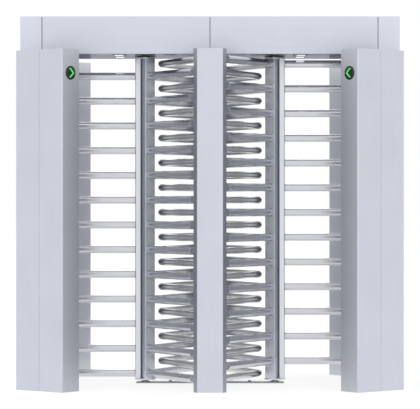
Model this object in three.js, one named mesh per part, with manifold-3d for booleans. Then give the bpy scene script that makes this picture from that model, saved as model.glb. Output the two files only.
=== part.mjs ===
// Twin full height turnstile: two interleaved three-wing rotors between two side cabinets, a pair of
// centre columns with fixed combs, and a header that holds the locking mechanisms.
// Millimetres, +Z up, origin on the floor midway between the rotors. Front is -Y.
import * as THREE from 'three';
import { mergeVertices } from 'three/addons/utils/BufferGeometryUtils.js';
import Module from 'manifold-3d';

const wasm = await Module();
wasm.setup();

// Shared allowances
const runningGap = 0.3;
const overrun = 5;
const panelSeam = 4;
const cabinetSeam = 1;
const sheet = 2.5;
const panelReturn = 18;

// Rotors
const sweepRadius = 615;
const axisShare = 2 / 3;
const wingCount = 3;
const armCount = 13;
const armPitch = 156.4;
const armDiameter = 48.3;
const armTipChamfer = 1.5;
const firstArmHeight = 62;
const profileWidth = 70;
const profileDepth = 36;
const profileReach = 32;
const coreDiameter = 52.4;
const hubDiameter = 134;
const hubThickness = 8;
const spindleDiameter = 28;
const shaftDiameter = 45;

// Fixed combs
const combTube = 42.4;
const combClearance = 18.5;
const combBendRadius = 57;
const combStripOffset = 52;
const combStripWidth = 60;
const combStripThickness = 8;
const combStripReach = 22;

// Centre columns
const columnFaceWidth = 154;
const columnBodyWidth = 198;
const columnFacet = 35;
const columnDepth = 285;
const columnClearance = 25.6;

// Side cabinets
const guideClearance = 33;
const wallDepth = 123;
const guideStraight = 850;
const mouthOffset = 381;
const noseFaceWidth = 96;
const noseFaceDepth = 120;
const shoulderDepth = 250;
const frameClearance = 29;
const frameMember = 60;
const frameSpan = 480;
const capThickness = 4;
const indicatorDiameter = 84;
const indicatorThickness = 3;
const indicatorDrop = 145;
const indicatorRim = 9;
const glassThickness = 1.5;

// Header
const headerHeight = 235;
const headerDepth = 530;
const headroom = 8;
const endCoverLength = 135;
const panThickness = 3;
const panEdge = 15;
const panHoleClearance = 3;
const beamWidth = 40;
const beamHeight = 60;
const beamWall = 4;
const beamInset = 20;
const hingeInset = 20;
const knuckleRadius = 5;
const hingeRodDiameter = 5;
const hingeLugLength = 24;
const hingeLugCount = 3;
const lampWidth = 84;
const lampLength = 280;
const lampFrameDepth = 5;
const lampBesideAxis = 159;
const lampSetForward = 105;
const lampBorder = 12;
const lampBridge = 105;
const lampLip = 5;
const lensBack = 3;
const lensProud = 1;

// Floor tie and overhead tie
const tieThickness = 8;
const tieDepth = 100;
const tieEnd = 56;
const overheadWidth = 110;
const overheadThickness = 12;
const overheadFlangeWidth = 36;
const overheadFlangeHeight = 100;
const bearingFlange = 60;
const bearingFlangeThickness = 4;
const bearingCollar = 42;
const bearingCollarHeight = 7;

// Locking mechanism in the header
const plateThickness = 10;
const plateWidth = 340;
const plateHole = 62;
const topBearingDiameter = 110;
const topBearingHeight = 24;
const wheelDiameter = 180;
const wheelThickness = 12;
const wheelLift = 8;
const wheelCollar = 76;
const notchCount = 12;
const notchDepth = 15;
const notchWidth = 24;
const shaftTopReach = 18;
const pawlReach = 80;
const pawlTail = 45;
const pawlRise = 28;
const pawlBar = 16;
const pawlBoss = 30;
const pawlStud = 14;
const pawlStudTop = 6;
const pawlToothWidth = 12;
const pawlToothLead = 2.5;
const pawlToothGap = 3;
const solenoidWidth = 50;
const solenoidLength = 75;
const solenoidHeight = 64;
const solenoidStandOff = 15;
const plungerDiameter = 14;
const plungerInside = 42;
const plungerBoreSpare = 6;
const controlWidth = 260;
const controlDepth = 180;
const controlHeight = 70;

// Places worked out from the sizes above
const axisOffset = sweepRadius * axisShare;
const stagger = armPitch / 2;
const armSpan = armPitch * (armCount - 1);
const profileBottom = firstArmHeight - profileReach;
const profileTop = firstArmHeight + stagger + armSpan + profileReach;
const hubBottom = profileBottom - hubThickness;
const hubTop = profileTop + hubThickness;
const clearHeight = hubTop + headroom;
const topHeight = clearHeight + headerHeight;
const profileInner = coreDiameter / 2 + runningGap;
const profileOuter = profileInner + profileDepth;
const columnHalf = columnBodyWidth / 2;
const columnBack = Math.sqrt((sweepRadius + columnClearance) ** 2 - (axisOffset - columnHalf) ** 2);
const noseY = columnBack + columnDepth;
const combReach = sweepRadius + combClearance + combTube / 2;
const stripMiddle = columnBack - combStripThickness / 2;
const stripAcross = axisOffset + combStripOffset;
const mouthY = noseY - noseFaceDepth;
const shoulderY = noseY - shoulderDepth;
const guideX = axisOffset + sweepRadius + guideClearance;
const outerX = guideX + wallDepth;
const mouthX = axisOffset + mouthOffset;
const noseX = mouthX + noseFaceWidth;
const indicatorHeight = clearHeight - indicatorDrop;
const lampOffset = axisOffset + lampBesideAxis;
const headerHalf = headerDepth / 2;
const endSeamX = outerX - endCoverLength;
const panTop = clearHeight + panThickness;
const plateBottom = panTop + beamHeight;
const plateTop = plateBottom + plateThickness;
const bearingTop = plateTop + topBearingHeight;
const wheelBottom = bearingTop + wheelLift;
const wheelTop = wheelBottom + wheelThickness;
const hingeY = -(headerHalf - hingeInset);
const hingeZ = topHeight - knuckleRadius;

// A comb's legs leave their strips along the tangents of a circle round the far rotor's sweep.
const stripAngle = Math.atan2(stripMiddle, stripAcross);
const tangentAngle = Math.asin(combReach / Math.hypot(stripAcross, stripMiddle));
const combLegAngle = Math.PI - stripAngle - tangentAngle;
const combCrossing = axisOffset - combReach / Math.sin(combLegAngle);

// Round pieces use few sides where they are small and more where they are wide
const armSides = 10;
const combSides = 8;
const combSteps = 5;
const smallSides = 12;
const roundSides = 20;
const wideSides = 24;

// Shape helpers

// Welds a geometry's vertices and returns it as a closed solid.
function solidOf(geometry) {
  const bare = geometry.index ? geometry.clone() : geometry;
  bare.deleteAttribute('normal');
  bare.deleteAttribute('uv');
  const welded = mergeVertices(bare);
  const vertProperties = new Float32Array(welded.attributes.position.array);
  const triVerts = new Uint32Array(welded.index.array);
  const solid = new wasm.Manifold(new wasm.Mesh({ numProp: 3, vertProperties, triVerts }));
  if (solid.volume() > 0) {
    return solid;
  }
  triVerts.reverse();
  return new wasm.Manifold(new wasm.Mesh({ numProp: 3, vertProperties, triVerts }));
}

function geometryOf(solid) {
  const mesh = solid.getMesh();
  const geometry = new THREE.BufferGeometry();
  geometry.setAttribute('position', new THREE.BufferAttribute(mesh.vertProperties, mesh.numProp));
  geometry.setIndex(new THREE.BufferAttribute(mesh.triVerts, 1));
  geometry.computeVertexNormals();
  return geometry;
}

function joined(geometries) {
  const solids = geometries.map(solidOf);
  return geometryOf(solids.reduce((whole, piece) => whole.add(piece)));
}

function cut(geometry, tools) {
  const solids = tools.map(solidOf);
  return geometryOf(solids.reduce((whole, tool) => whole.subtract(tool), solidOf(geometry)));
}

function polygon(points) {
  return new THREE.Shape(points.map(([x, y]) => new THREE.Vector2(x, y)));
}

// Upright prism of a plan outline between two heights.
function upright(shape, bottom, top) {
  const geometry = new THREE.ExtrudeGeometry(shape, { depth: top - bottom, bevelEnabled: false });
  return geometry.translate(0, 0, bottom);
}

// Prism of a (y, z) outline that runs along X.
function lengthwise(shape, start, end) {
  const geometry = new THREE.ExtrudeGeometry(shape, { depth: end - start, bevelEnabled: false });
  const turn = new THREE.Matrix4().makeBasis(
    new THREE.Vector3(0, 1, 0),
    new THREE.Vector3(0, 0, 1),
    new THREE.Vector3(1, 0, 0),
  );
  return geometry.applyMatrix4(turn).translate(start, 0, 0);
}

function block(low, high) {
  const size = high.map((value, i) => value - low[i]);
  const middle = high.map((value, i) => (value + low[i]) / 2);
  return new THREE.BoxGeometry(...size).translate(...middle);
}

// Upright turned piece from (radius, height) pairs.
function turned(pairs, sides = roundSides) {
  const profile = pairs.map(([radius, height]) => new THREE.Vector2(radius, height));
  return new THREE.LatheGeometry(profile, sides).rotateX(Math.PI / 2);
}

function rod(diameter, bottom, top, sides = roundSides) {
  const radius = diameter / 2;
  return turned([[0, bottom], [radius, bottom], [radius, top], [0, top]], sides);
}

function ring(inner, outer, bottom, top, sides = roundSides) {
  return turned([[inner, bottom], [outer, bottom], [outer, top], [inner, top], [inner, bottom]], sides);
}

// Closed outline of a bent sheet: the given line is its outside face, the metal lies to its left.
function bentSheet(line, thickness) {
  const points = line.map(([x, y]) => new THREE.Vector2(x, y));
  const normals = points.slice(1).map((point, i) => {
    const along = point.clone().sub(points[i]).normalize();
    return new THREE.Vector2(-along.y, along.x);
  });
  const inside = points.map((point, i) => {
    const before = normals[Math.max(i - 1, 0)];
    const after = normals[Math.min(i, normals.length - 1)];
    const mitre = before.clone().add(after);
    return point.clone().addScaledVector(mitre, thickness / (1 + before.dot(after)));
  });
  return new THREE.Shape([...points, ...inside.reverse()]);
}

// The point a given distance from one point towards another.
function stepped(from, to, distance) {
  const length = Math.hypot(to[0] - from[0], to[1] - from[1]);
  return from.map((value, i) => value + ((to[i] - value) * distance) / length);
}

// The same (x, y) line on either side of the centre plane, always running so that metal stays inside.
function onSide(side, line) {
  const flipped = line.map(([x, y]) => [side * x, y]);
  return side > 0 ? flipped : flipped.reverse();
}

function finish(color, roughness, metalness) {
  return new THREE.MeshStandardMaterial({ color, roughness, metalness });
}

const group = new THREE.Group();

function add(name, geometry, material, parent = group) {
  const mesh = new THREE.Mesh(geometry, material);
  mesh.name = name;
  parent.add(mesh);
  return mesh;
}

// Finishes
const satinPanel = () => finish(0xcdd1da, 0.42, 0.55);
const greyPanel = () => finish(0xa3a6ad, 0.45, 0.55);
const polishedTube = () => finish(0xb9bcc2, 0.22, 0.9);
const plainSteel = () => finish(0x8d9096, 0.45, 0.8);
const zincPlate = () => finish(0xa9adb0, 0.4, 0.75);
const darkPlastic = () => finish(0x14171a, 0.35, 0.05);
const lampGlass = () => finish(0xf4f6fa, 0.3, 0.0);
const coilHousing = () => finish(0x23272c, 0.5, 0.3);

// Side cabinets

// Corner points of one cabinet's plan, on the positive side, for its front (-1) or rear (+1) half.
function cabinetCorners(end) {
  const nose = [noseX, end * noseY];
  const shoulder = [outerX, end * shoulderY];
  const mouth = [mouthX, end * mouthY];
  const guide = [guideX, (end * guideStraight) / 2];
  const seam = nose.map((value, i) => (value + shoulder[i]) / 2);
  return { nose, shoulder, mouth, guide, seam };
}

// A short leg that turns a panel's edge inwards, square to the outer oblique face.
function returnLeg({ nose, shoulder }, edge) {
  const length = Math.hypot(shoulder[0] - nose[0], shoulder[1] - nose[1]);
  const inward = [-Math.abs(shoulder[1] - nose[1]) / length, (shoulder[0] - nose[0]) / length];
  return [edge[0] + inward[0] * panelReturn, edge[1] - Math.sign(edge[1]) * inward[1] * panelReturn];
}

function outerWall(side) {
  const front = cabinetCorners(-1);
  const rear = cabinetCorners(1);
  const frontEdge = stepped(front.seam, front.shoulder, cabinetSeam / 2);
  const rearEdge = stepped(rear.seam, rear.shoulder, cabinetSeam / 2);
  const line = [
    returnLeg(front, frontEdge),
    frontEdge,
    front.shoulder,
    rear.shoulder,
    rearEdge,
    returnLeg(rear, rearEdge),
  ];
  return upright(bentSheet(onSide(side, line), sheet), 0, clearHeight);
}

function noseCover(side, end) {
  const corners = cabinetCorners(end);
  const edge = stepped(corners.seam, corners.nose, cabinetSeam / 2);
  const line = [corners.mouth, corners.nose, edge, returnLeg(corners, edge)];
  const ordered = end < 0 ? line : line.reverse();
  return upright(bentSheet(onSide(side, ordered), sheet), 0, clearHeight);
}

function guideWall(side) {
  const front = cabinetCorners(-1);
  const rear = cabinetCorners(1);
  const corner = Math.abs(meetingAngle(front.nose, front.mouth, front.guide));
  const setBack = (sheet + runningGap) / Math.sin(corner);
  const line = [
    stepped(rear.mouth, rear.guide, setBack),
    rear.guide,
    front.guide,
    stepped(front.mouth, front.guide, setBack),
  ];
  return upright(bentSheet(onSide(side, line), sheet), 0, clearHeight);
}

// Angle at the middle of three plan points.
function meetingAngle(a, b, c) {
  const first = new THREE.Vector2(a[0] - b[0], a[1] - b[1]);
  const second = new THREE.Vector2(c[0] - b[0], c[1] - b[1]);
  return first.angleTo(second);
}

// Flat cap that closes the cabinet's top, just inside its walls.
function topCap(side) {
  const front = cabinetCorners(-1);
  const rear = cabinetCorners(1);
  const loop = [
    front.mouth,
    front.nose,
    front.shoulder,
    rear.shoulder,
    rear.nose,
    rear.mouth,
    rear.guide,
    front.guide,
  ];
  const closed = [...loop, loop[0], loop[1]];
  const inset = insetLoop(onSide(side, closed), sheet + runningGap);
  const plate = upright(polygon(inset), clearHeight - capThickness, clearHeight);
  const slots = [front, rear].map((corners) => returnSlot(side, corners));
  return cut(plate, slots);
}

// Room in the cap for the two turned-in panel edges at a seam.
function returnSlot(side, corners) {
  const reach = sheet + cabinetSeam / 2 + runningGap;
  const outer = [
    stepped(corners.seam, corners.nose, reach),
    stepped(corners.seam, corners.shoulder, reach),
  ];
  const depth = (panelReturn + runningGap) / panelReturn;
  const deepen = (point) => {
    const inner = returnLeg(corners, point);
    return point.map((value, i) => value + (inner[i] - value) * depth);
  };
  const slot = [outer[0], outer[1], deepen(outer[1]), deepen(outer[0])];
  const shape = polygon(slot.map(([x, y]) => [side * x, y]));
  return upright(shape, clearHeight - capThickness - overrun, clearHeight + overrun);
}

// Moves every corner of a closed loop (first two points repeated at its end) inwards.
function insetLoop(loop, distance) {
  const points = loop.map(([x, y]) => new THREE.Vector2(x, y));
  return points.slice(1, -1).map((point, i) => {
    const before = point.clone().sub(points[i]).normalize();
    const after = points[i + 2].clone().sub(point).normalize();
    const first = new THREE.Vector2(-before.y, before.x);
    const second = new THREE.Vector2(-after.y, after.x);
    const mitre = first.clone().add(second);
    const moved = point.clone().addScaledVector(mitre, distance / (1 + first.dot(second)));
    return [moved.x, moved.y];
  });
}

// Welded frame of box section in the wall cavity; it carries the header.
function sideFrame(side) {
  const near = side * (guideX + sheet + frameClearance);
  const far = side * (outerX - sheet - frameClearance);
  const half = frameSpan / 2;
  const top = clearHeight - capThickness;
  const shape = polygon([[-half, 0], [half, 0], [half, top], [-half, top]]);
  const low = frameMember;
  const high = top - frameMember;
  const inner = half - frameMember;
  shape.holes.push(new THREE.Path([
    new THREE.Vector2(-inner, low),
    new THREE.Vector2(-inner, high),
    new THREE.Vector2(inner, high),
    new THREE.Vector2(inner, low),
  ]));
  return lengthwise(shape, Math.min(near, far), Math.max(near, far));
}

// Places a piece that was made facing +Z on the middle of a nose's inner face, facing the passage.
function onNoseFace(mesh, side, end) {
  const { nose, mouth } = cabinetCorners(end);
  const outward = new THREE.Vector3(-side * noseFaceDepth, end * noseFaceWidth, 0).normalize();
  const [x, y] = nose.map((value, i) => (value + mouth[i]) / 2);
  mesh.position.set(side * x, y, indicatorHeight).addScaledVector(outward, runningGap);
  mesh.quaternion.setFromUnitVectors(new THREE.Vector3(0, 0, 1), outward);
}

// Round signal: a rim around a recessed glass face.
function indicator() {
  const outer = indicatorDiameter / 2;
  const glass = outer - indicatorRim;
  const seat = indicatorThickness - glassThickness;
  return turned([
    [0, 0],
    [outer, 0],
    [outer, indicatorThickness],
    [glass, indicatorThickness],
    [glass, seat],
    [0, seat],
  ], smallSides);
}

// Centre columns and combs

function column(end) {
  const face = columnFaceWidth / 2;
  const back = end * columnBack;
  const shoulder = end * (noseY - columnFacet);
  const front = end * noseY;
  const outline = [
    [-columnHalf, back],
    [-columnHalf, shoulder],
    [-face, front],
    [face, front],
    [columnHalf, shoulder],
    [columnHalf, back],
  ];
  const ordered = end < 0 ? outline : [...outline].reverse();
  const solid = upright(polygon(outline), 0, clearHeight);
  const inner = insetLoop([...ordered, ordered[0], ordered[1]], sheet);
  const hollow = upright(polygon(inner), -overrun, clearHeight - capThickness);
  return cut(solid, [hollow]);
}

// Centre line of one comb loop: straight leg, bend, straight leg.
class CombLine extends THREE.Curve {
  constructor(height, side) {
    super();
    this.height = height;
    this.side = side;
    this.half = Math.PI / 2 - combLegAngle;
    this.centre = combCrossing + combBendRadius / Math.sin(combLegAngle);
    this.endY = columnBack + overrun;
    this.bendShare = 1 / combSteps;
  }

  getUtoTmapping(u) {
    return u;
  }

  // Plan position for a share of the line; the bend takes all of it but one step at each end.
  getPoint(t, target = new THREE.Vector3()) {
    const turn = THREE.MathUtils.clamp((t - this.bendShare) / (1 - 2 * this.bendShare), 0, 1);
    const angle = Math.PI + this.half * (1 - 2 * turn);
    const x = this.centre + combBendRadius * Math.cos(angle);
    const y = combBendRadius * Math.sin(angle);
    const past = Math.max(this.bendShare - t, t - 1 + this.bendShare, 0) / this.bendShare;
    const sign = t < this.bendShare ? -1 : 1;
    const endX = combCrossing + this.endY / Math.tan(combLegAngle);
    const planX = THREE.MathUtils.lerp(x, endX, past);
    const planY = THREE.MathUtils.lerp(y, sign * this.endY, past);
    return target.set(-this.side * planX, planY, this.height);
  }
}

function tubeSection(diameter, sides) {
  const points = [];
  for (let i = 0; i < sides; i += 1) {
    const angle = (2 * Math.PI * (i + 1 / 2)) / sides;
    points.push([(diameter / 2) * Math.cos(angle), (diameter / 2) * Math.sin(angle)]);
  }
  return polygon(points);
}

// Comb of bent tubes welded to a strip behind each column.
function comb(side, firstLevel) {
  const loops = [];
  for (let i = 0; i < armCount; i += 1) {
    const line = new CombLine(firstLevel + i * armPitch, side);
    loops.push(new THREE.ExtrudeGeometry(tubeSection(combTube, combSides), {
      steps: combSteps,
      bevelEnabled: false,
      extrudePath: line,
    }));
  }
  const middle = side * combStripOffset;
  const bottom = firstLevel - combStripReach;
  const top = firstLevel + armSpan + combStripReach;
  const room = block([-axisOffset, -stripMiddle, bottom], [axisOffset, stripMiddle, top]);
  const trimmed = solidOf(joined(loops)).intersect(solidOf(room));
  const pieces = [geometryOf(trimmed)];
  for (const end of [-1, 1]) {
    const faces = [end * columnBack, end * (columnBack - combStripThickness)];
    pieces.push(block(
      [middle - combStripWidth / 2, Math.min(...faces), bottom],
      [middle + combStripWidth / 2, Math.max(...faces), top],
    ));
  }
  return joined(pieces);
}

// Bar that ties both columns to the header, with an end flange against each column.
function overheadTie() {
  const bottom = clearHeight - overheadThickness;
  const pieces = [block(
    [-overheadWidth / 2, -columnBack, bottom],
    [overheadWidth / 2, columnBack, clearHeight],
  )];
  for (const end of [-1, 1]) {
    const faces = [end * columnBack, end * (columnBack - combStripThickness)];
    pieces.push(block(
      [-overheadFlangeWidth / 2, Math.min(...faces), bottom - overheadFlangeHeight],
      [overheadFlangeWidth / 2, Math.max(...faces), bottom + overheadThickness / 2],
    ));
  }
  return joined(pieces);
}

function floorTie() {
  const reach = axisOffset + tieEnd;
  return block([-reach, -tieDepth / 2, 0], [reach, tieDepth / 2, tieThickness]);
}

function floorBearing() {
  const bore = spindleDiameter / 2 + runningGap;
  const collarTop = tieThickness + bearingCollarHeight;
  const flangeTop = tieThickness + bearingFlangeThickness;
  return turned([
    [bore, tieThickness],
    [bearingFlange / 2, tieThickness],
    [bearingFlange / 2, flangeTop],
    [bearingCollar / 2, flangeTop],
    [bearingCollar / 2, collarTop],
    [bore, collarTop],
    [bore, tieThickness],
  ]);
}

// Rotors

// Core tube with its two hub plates, the floor spindle and the shaft up into the header.
function rotorCore() {
  const core = coreDiameter / 2;
  const hub = hubDiameter / 2;
  const spindle = spindleDiameter / 2;
  const shaft = shaftDiameter / 2;
  const foot = tieThickness + runningGap;
  const top = wheelTop + shaftTopReach;
  return turned([
    [0, foot],
    [spindle, foot],
    [spindle, hubBottom],
    [hub, hubBottom],
    [hub, profileBottom],
    [core, profileBottom],
    [core, profileTop],
    [hub, profileTop],
    [hub, hubTop],
    [shaft, hubTop],
    [shaft, top],
    [0, top],
  ]);
}

function arm(height) {
  const start = (profileInner + profileOuter) / 2;
  const radius = armDiameter / 2;
  const tip = sweepRadius;
  const bar = turned([
    [0, start],
    [radius, start],
    [radius, tip - armTipChamfer],
    [radius - armTipChamfer, tip],
    [0, tip],
  ], armSides);
  return bar.rotateY(Math.PI / 2).translate(0, 0, height);
}

// One wing: an upright profile with its row of arms, made pointing along +X.
function wing(firstLevel) {
  const pieces = [block(
    [profileInner, -profileWidth / 2, profileBottom],
    [profileOuter, profileWidth / 2, profileTop],
  )];
  for (let i = 0; i < armCount; i += 1) {
    pieces.push(arm(firstLevel + i * armPitch));
  }
  return joined(pieces);
}

// Header

function headerPan() {
  const length = outerX - sheet - runningGap;
  const depth = headerHalf - panEdge;
  const pan = block([-length, -depth, clearHeight], [length, depth, panTop]);
  const hole = hubDiameter + 2 * panHoleClearance;
  const cuts = [-1, 1].map((side) => (
    rod(hole, clearHeight - overrun, panTop + overrun, wideSides).translate(side * axisOffset, 0, 0)
  ));
  return cut(pan, cuts);
}

function headerBeam(end) {
  const length = outerX - sheet - runningGap;
  const outside = headerHalf - beamInset;
  const inside = outside - beamWidth;
  const near = end < 0 ? -outside : inside;
  const far = near + beamWidth;
  const shape = polygon([[near, panTop], [far, panTop], [far, plateBottom], [near, plateBottom]]);
  shape.holes.push(new THREE.Path([
    new THREE.Vector2(near + beamWall, panTop + beamWall),
    new THREE.Vector2(near + beamWall, plateBottom - beamWall),
    new THREE.Vector2(far - beamWall, plateBottom - beamWall),
    new THREE.Vector2(far - beamWall, panTop + beamWall),
  ]));
  return lengthwise(shape, -length, length);
}

// X range of the long header covers on one side.
function coverRange(side) {
  const inner = panelSeam / 2;
  const outer = endSeamX - panelSeam / 2;
  return side < 0 ? [-outer, -inner] : [inner, outer];
}

// X range of each hinge lug along one cover.
function lugRanges(side) {
  const [start, end] = coverRange(side);
  const step = (end - start) / hingeLugCount;
  const ranges = [];
  for (let i = 0; i < hingeLugCount; i += 1) {
    const middle = start + step * (i + 1 / 2);
    ranges.push([middle - hingeLugLength / 2, middle + hingeLugLength / 2]);
  }
  return ranges;
}

// Disc along X, centred on the hinge line.
function hingeBarrel(radius, start, end) {
  const bar = rod(radius * 2, start, end, smallSides).rotateY(Math.PI / 2);
  return bar.translate(0, hingeY, hingeZ);
}

// Top and rear of the header in one bent sheet, with lugs that hold the lid's hinge rod.
function headerHood(side) {
  const [start, end] = coverRange(side);
  const frontEdge = hingeY + knuckleRadius + runningGap;
  const line = [
    [headerHalf - panEdge + runningGap, clearHeight],
    [headerHalf, clearHeight],
    [headerHalf, topHeight],
    [frontEdge, topHeight],
  ];
  const shell = lengthwise(bentSheet(line, sheet), start, end);
  const pieces = [shell];
  const bores = [];
  for (const [from, to] of lugRanges(side)) {
    pieces.push(hingeBarrel(knuckleRadius, from, to));
    pieces.push(block([from, hingeY, hingeZ - sheet], [to, frontEdge + sheet, topHeight - sheet / 2]));
    const bore = hingeRodDiameter / 2 + runningGap;
    bores.push(hingeBarrel(bore, from - overrun, to + overrun));
  }
  return cut(joined(pieces), bores);
}

// Front of the header: a bent sheet that swings up on the hinge rod.
function headerLid(side) {
  const [start, end] = coverRange(side);
  const line = [
    [hingeY - knuckleRadius / 2, topHeight],
    [-headerHalf, topHeight],
    [-headerHalf, clearHeight],
    [-(headerHalf - panEdge + runningGap), clearHeight],
  ];
  const shell = lengthwise(bentSheet(line, sheet), start, end);
  const knuckle = hingeBarrel(knuckleRadius, start, end);
  const bore = hingeBarrel(hingeRodDiameter / 2 + runningGap, start - overrun, end + overrun);
  const gaps = lugRanges(side).map(([from, to]) => block(
    [from - runningGap, hingeY - knuckleRadius - 2 * runningGap, hingeZ - knuckleRadius - overrun],
    [to + runningGap, hingeY + knuckleRadius + overrun, topHeight + overrun],
  ));
  return cut(joined([shell, knuckle]), [bore, ...gaps]);
}

function hingeRod(side) {
  const [start, end] = coverRange(side);
  return hingeBarrel(hingeRodDiameter / 2, start, end);
}

// Folded cap on each end of the header, open inwards and below.
function endCover(side) {
  const inner = side * (endSeamX + panelSeam / 2);
  const outer = side * outerX;
  const low = Math.min(inner, outer);
  const high = Math.max(inner, outer);
  const shell = block([low, -headerHalf, clearHeight], [high, headerHalf, topHeight]);
  const hollow = block(
    [side < 0 ? low + sheet : low - overrun, -(headerHalf - sheet), clearHeight - overrun],
    [side < 0 ? high + overrun : high - sheet, headerHalf - sheet, topHeight - sheet],
  );
  return cut(shell, [hollow]);
}

// Y ranges of the two windows in a lamp frame.
function lampWindows() {
  const front = -(lampSetForward + lampLength / 2) + lampBorder;
  const rear = -(lampSetForward - lampLength / 2) - lampBorder;
  const middle = -lampSetForward;
  return [[front, middle - lampBridge / 2], [middle + lampBridge / 2, rear]];
}

// Block under the header that spans a lamp's windows, widened all round by a margin.
function lampBlock(side, [from, to], margin, bottom, top) {
  const middle = side * lampOffset;
  const half = lampWidth / 2 - lampBorder + margin;
  return block([middle - half, from - margin, bottom], [middle + half, to + margin, top]);
}

// Frame with two windows and a shallow pocket behind them for the lens plate.
function lampFrame(side) {
  const [front, rear] = lampWindows();
  const bottom = clearHeight - lampFrameDepth;
  const pocket = [front[0], rear[1]];
  const frame = lampBlock(side, pocket, lampBorder, bottom, clearHeight);
  const cuts = [front, rear].map((window) => lampBlock(side, window, 0, bottom - overrun, clearHeight));
  cuts.push(lampBlock(side, pocket, lampLip, clearHeight - lensBack, clearHeight + overrun));
  return cut(frame, cuts);
}

// One lens: two bright bars on a common back plate.
function lampLens(side) {
  const [front, rear] = lampWindows();
  const face = clearHeight - lampFrameDepth - lensProud;
  const plateFace = clearHeight - lensBack + runningGap;
  const back = clearHeight - runningGap;
  const pieces = [front, rear].map((window) => lampBlock(side, window, -runningGap, face, back));
  pieces.push(lampBlock(side, [front[0], rear[1]], lampLip - runningGap, plateFace, back));
  return joined(pieces);
}

// Locking mechanism, in each rotor's own frame: x outwards from the centre plane is side * x

const pawlPivotY = wheelDiameter / 2 + pawlRise;

function mechanismPlate(side) {
  const halfDepth = headerHalf - beamInset;
  const plate = block(
    [-plateWidth / 2, -halfDepth, plateBottom],
    [plateWidth / 2, halfDepth, plateTop],
  );
  const hole = rod(plateHole, plateBottom - overrun, plateTop + overrun);
  const shoulder = rod(pawlBoss, plateTop - overrun, wheelBottom - runningGap);
  const stud = rod(pawlStud, plateTop - overrun, wheelTop + pawlStudTop);
  const studs = [shoulder, stud].map((piece) => piece.translate(side * pawlReach, pawlPivotY, 0));
  return joined([cut(plate, [hole]), ...studs]);
}

function topBearing() {
  return ring(shaftDiameter / 2 + runningGap, topBearingDiameter / 2, plateTop, bearingTop);
}

function lockingWheel() {
  const bore = shaftDiameter / 2 + runningGap;
  const wheel = turned([
    [bore, bearingTop + runningGap],
    [wheelCollar / 2, bearingTop + runningGap],
    [wheelCollar / 2, wheelBottom],
    [wheelDiameter / 2, wheelBottom],
    [wheelDiameter / 2, wheelTop],
    [bore, wheelTop],
    [bore, bearingTop + runningGap],
  ], wideSides);
  const notches = [];
  for (let i = 0; i < notchCount; i += 1) {
    const notch = block(
      [wheelDiameter / 2 - notchDepth, -notchWidth / 2, wheelBottom - overrun],
      [wheelDiameter / 2 + overrun, notchWidth / 2, wheelTop + overrun],
    );
    notches.push(notch.rotateZ((2 * Math.PI * i) / notchCount));
  }
  return cut(wheel, notches);
}

// Rocking pawl: its tooth drops into the wheel when the plunger lifts its tail.
function lockPawl(side) {
  const half = pawlBar / 2;
  const lead = pawlToothLead;
  const toothTip = wheelDiameter / 2 + pawlToothGap - pawlPivotY;
  const outline = [
    [-pawlTail - half, -half],
    [pawlReach + lead - pawlToothWidth / 2, -half],
    [pawlReach + lead - pawlToothWidth / 2, toothTip],
    [pawlReach + lead + pawlToothWidth / 2, toothTip],
    [pawlReach + lead + pawlToothWidth / 2, half],
    [-pawlTail - half, half],
  ].map(([x, y]) => [-side * x, y]);
  const bar = upright(polygon(outline), wheelBottom, wheelTop);
  const boss = rod(pawlBoss, wheelBottom, wheelTop);
  const bore = rod(pawlStud + 2 * runningGap, wheelBottom - overrun, wheelTop + overrun);
  return cut(joined([bar, boss]), [bore]);
}

const pawlTailX = pawlReach + pawlTail;
const plungerTip = pawlPivotY - pawlBar / 2 - runningGap;
const plungerZ = (wheelBottom + wheelTop) / 2;
const solenoidFront = plungerTip - solenoidStandOff;

// Cylinder along +Y at the plunger's height.
function plungerBar(diameter, from, to, side) {
  const bar = rod(diameter, from, to, smallSides).rotateX(-Math.PI / 2);
  return bar.translate(side * pawlTailX, 0, plungerZ);
}

function solenoidBody(side) {
  const middle = side * pawlTailX;
  const body = block(
    [middle - solenoidWidth / 2, solenoidFront - solenoidLength, plateTop],
    [middle + solenoidWidth / 2, solenoidFront, plateTop + solenoidHeight],
  );
  const depth = plungerInside + plungerBoreSpare;
  const wide = plungerDiameter + 2 * runningGap;
  const bore = plungerBar(wide, solenoidFront - depth, solenoidFront + overrun, side);
  return cut(body, [bore]);
}

function solenoidPlunger(side) {
  return plungerBar(plungerDiameter, solenoidFront - plungerInside, plungerTip, side);
}

function controlUnit() {
  return block(
    [-controlWidth / 2, -controlDepth / 2, panTop],
    [controlWidth / 2, controlDepth / 2, panTop + controlHeight],
  );
}

// Assembly

const sides = [['left', -1], ['right', 1]];
const ends = [['front', -1], ['rear', 1]];

for (const [sideName, side] of sides) {
  add(`${sideName}_outer_wall`, outerWall(side), satinPanel());
  add(`${sideName}_guide_wall`, guideWall(side), greyPanel());
  add(`${sideName}_top_cap`, topCap(side), satinPanel());
  add(`${sideName}_side_frame`, sideFrame(side), plainSteel());
  for (const [endName, end] of ends) {
    add(`${sideName}_${endName}_nose_cover`, noseCover(side, end), satinPanel());
  }
}

for (const [sideName, side] of sides) {
  for (const [endName, end] of ends) {
    onNoseFace(add(`${sideName}_${endName}_indicator`, indicator(), darkPlastic()), side, end);
  }
}

for (const [endName, end] of ends) {
  add(`${endName}_column`, column(end), satinPanel());
}

// The left rotor's arms and the right comb share one set of levels; the others lie half a pitch higher.
const lowLevel = firstArmHeight;
const highLevel = firstArmHeight + stagger;
add('left_comb', comb(-1, highLevel), polishedTube());
add('right_comb', comb(1, lowLevel), polishedTube());
add('overhead_tie', overheadTie(), zincPlate());
add('floor_tie', floorTie(), plainSteel());

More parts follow.
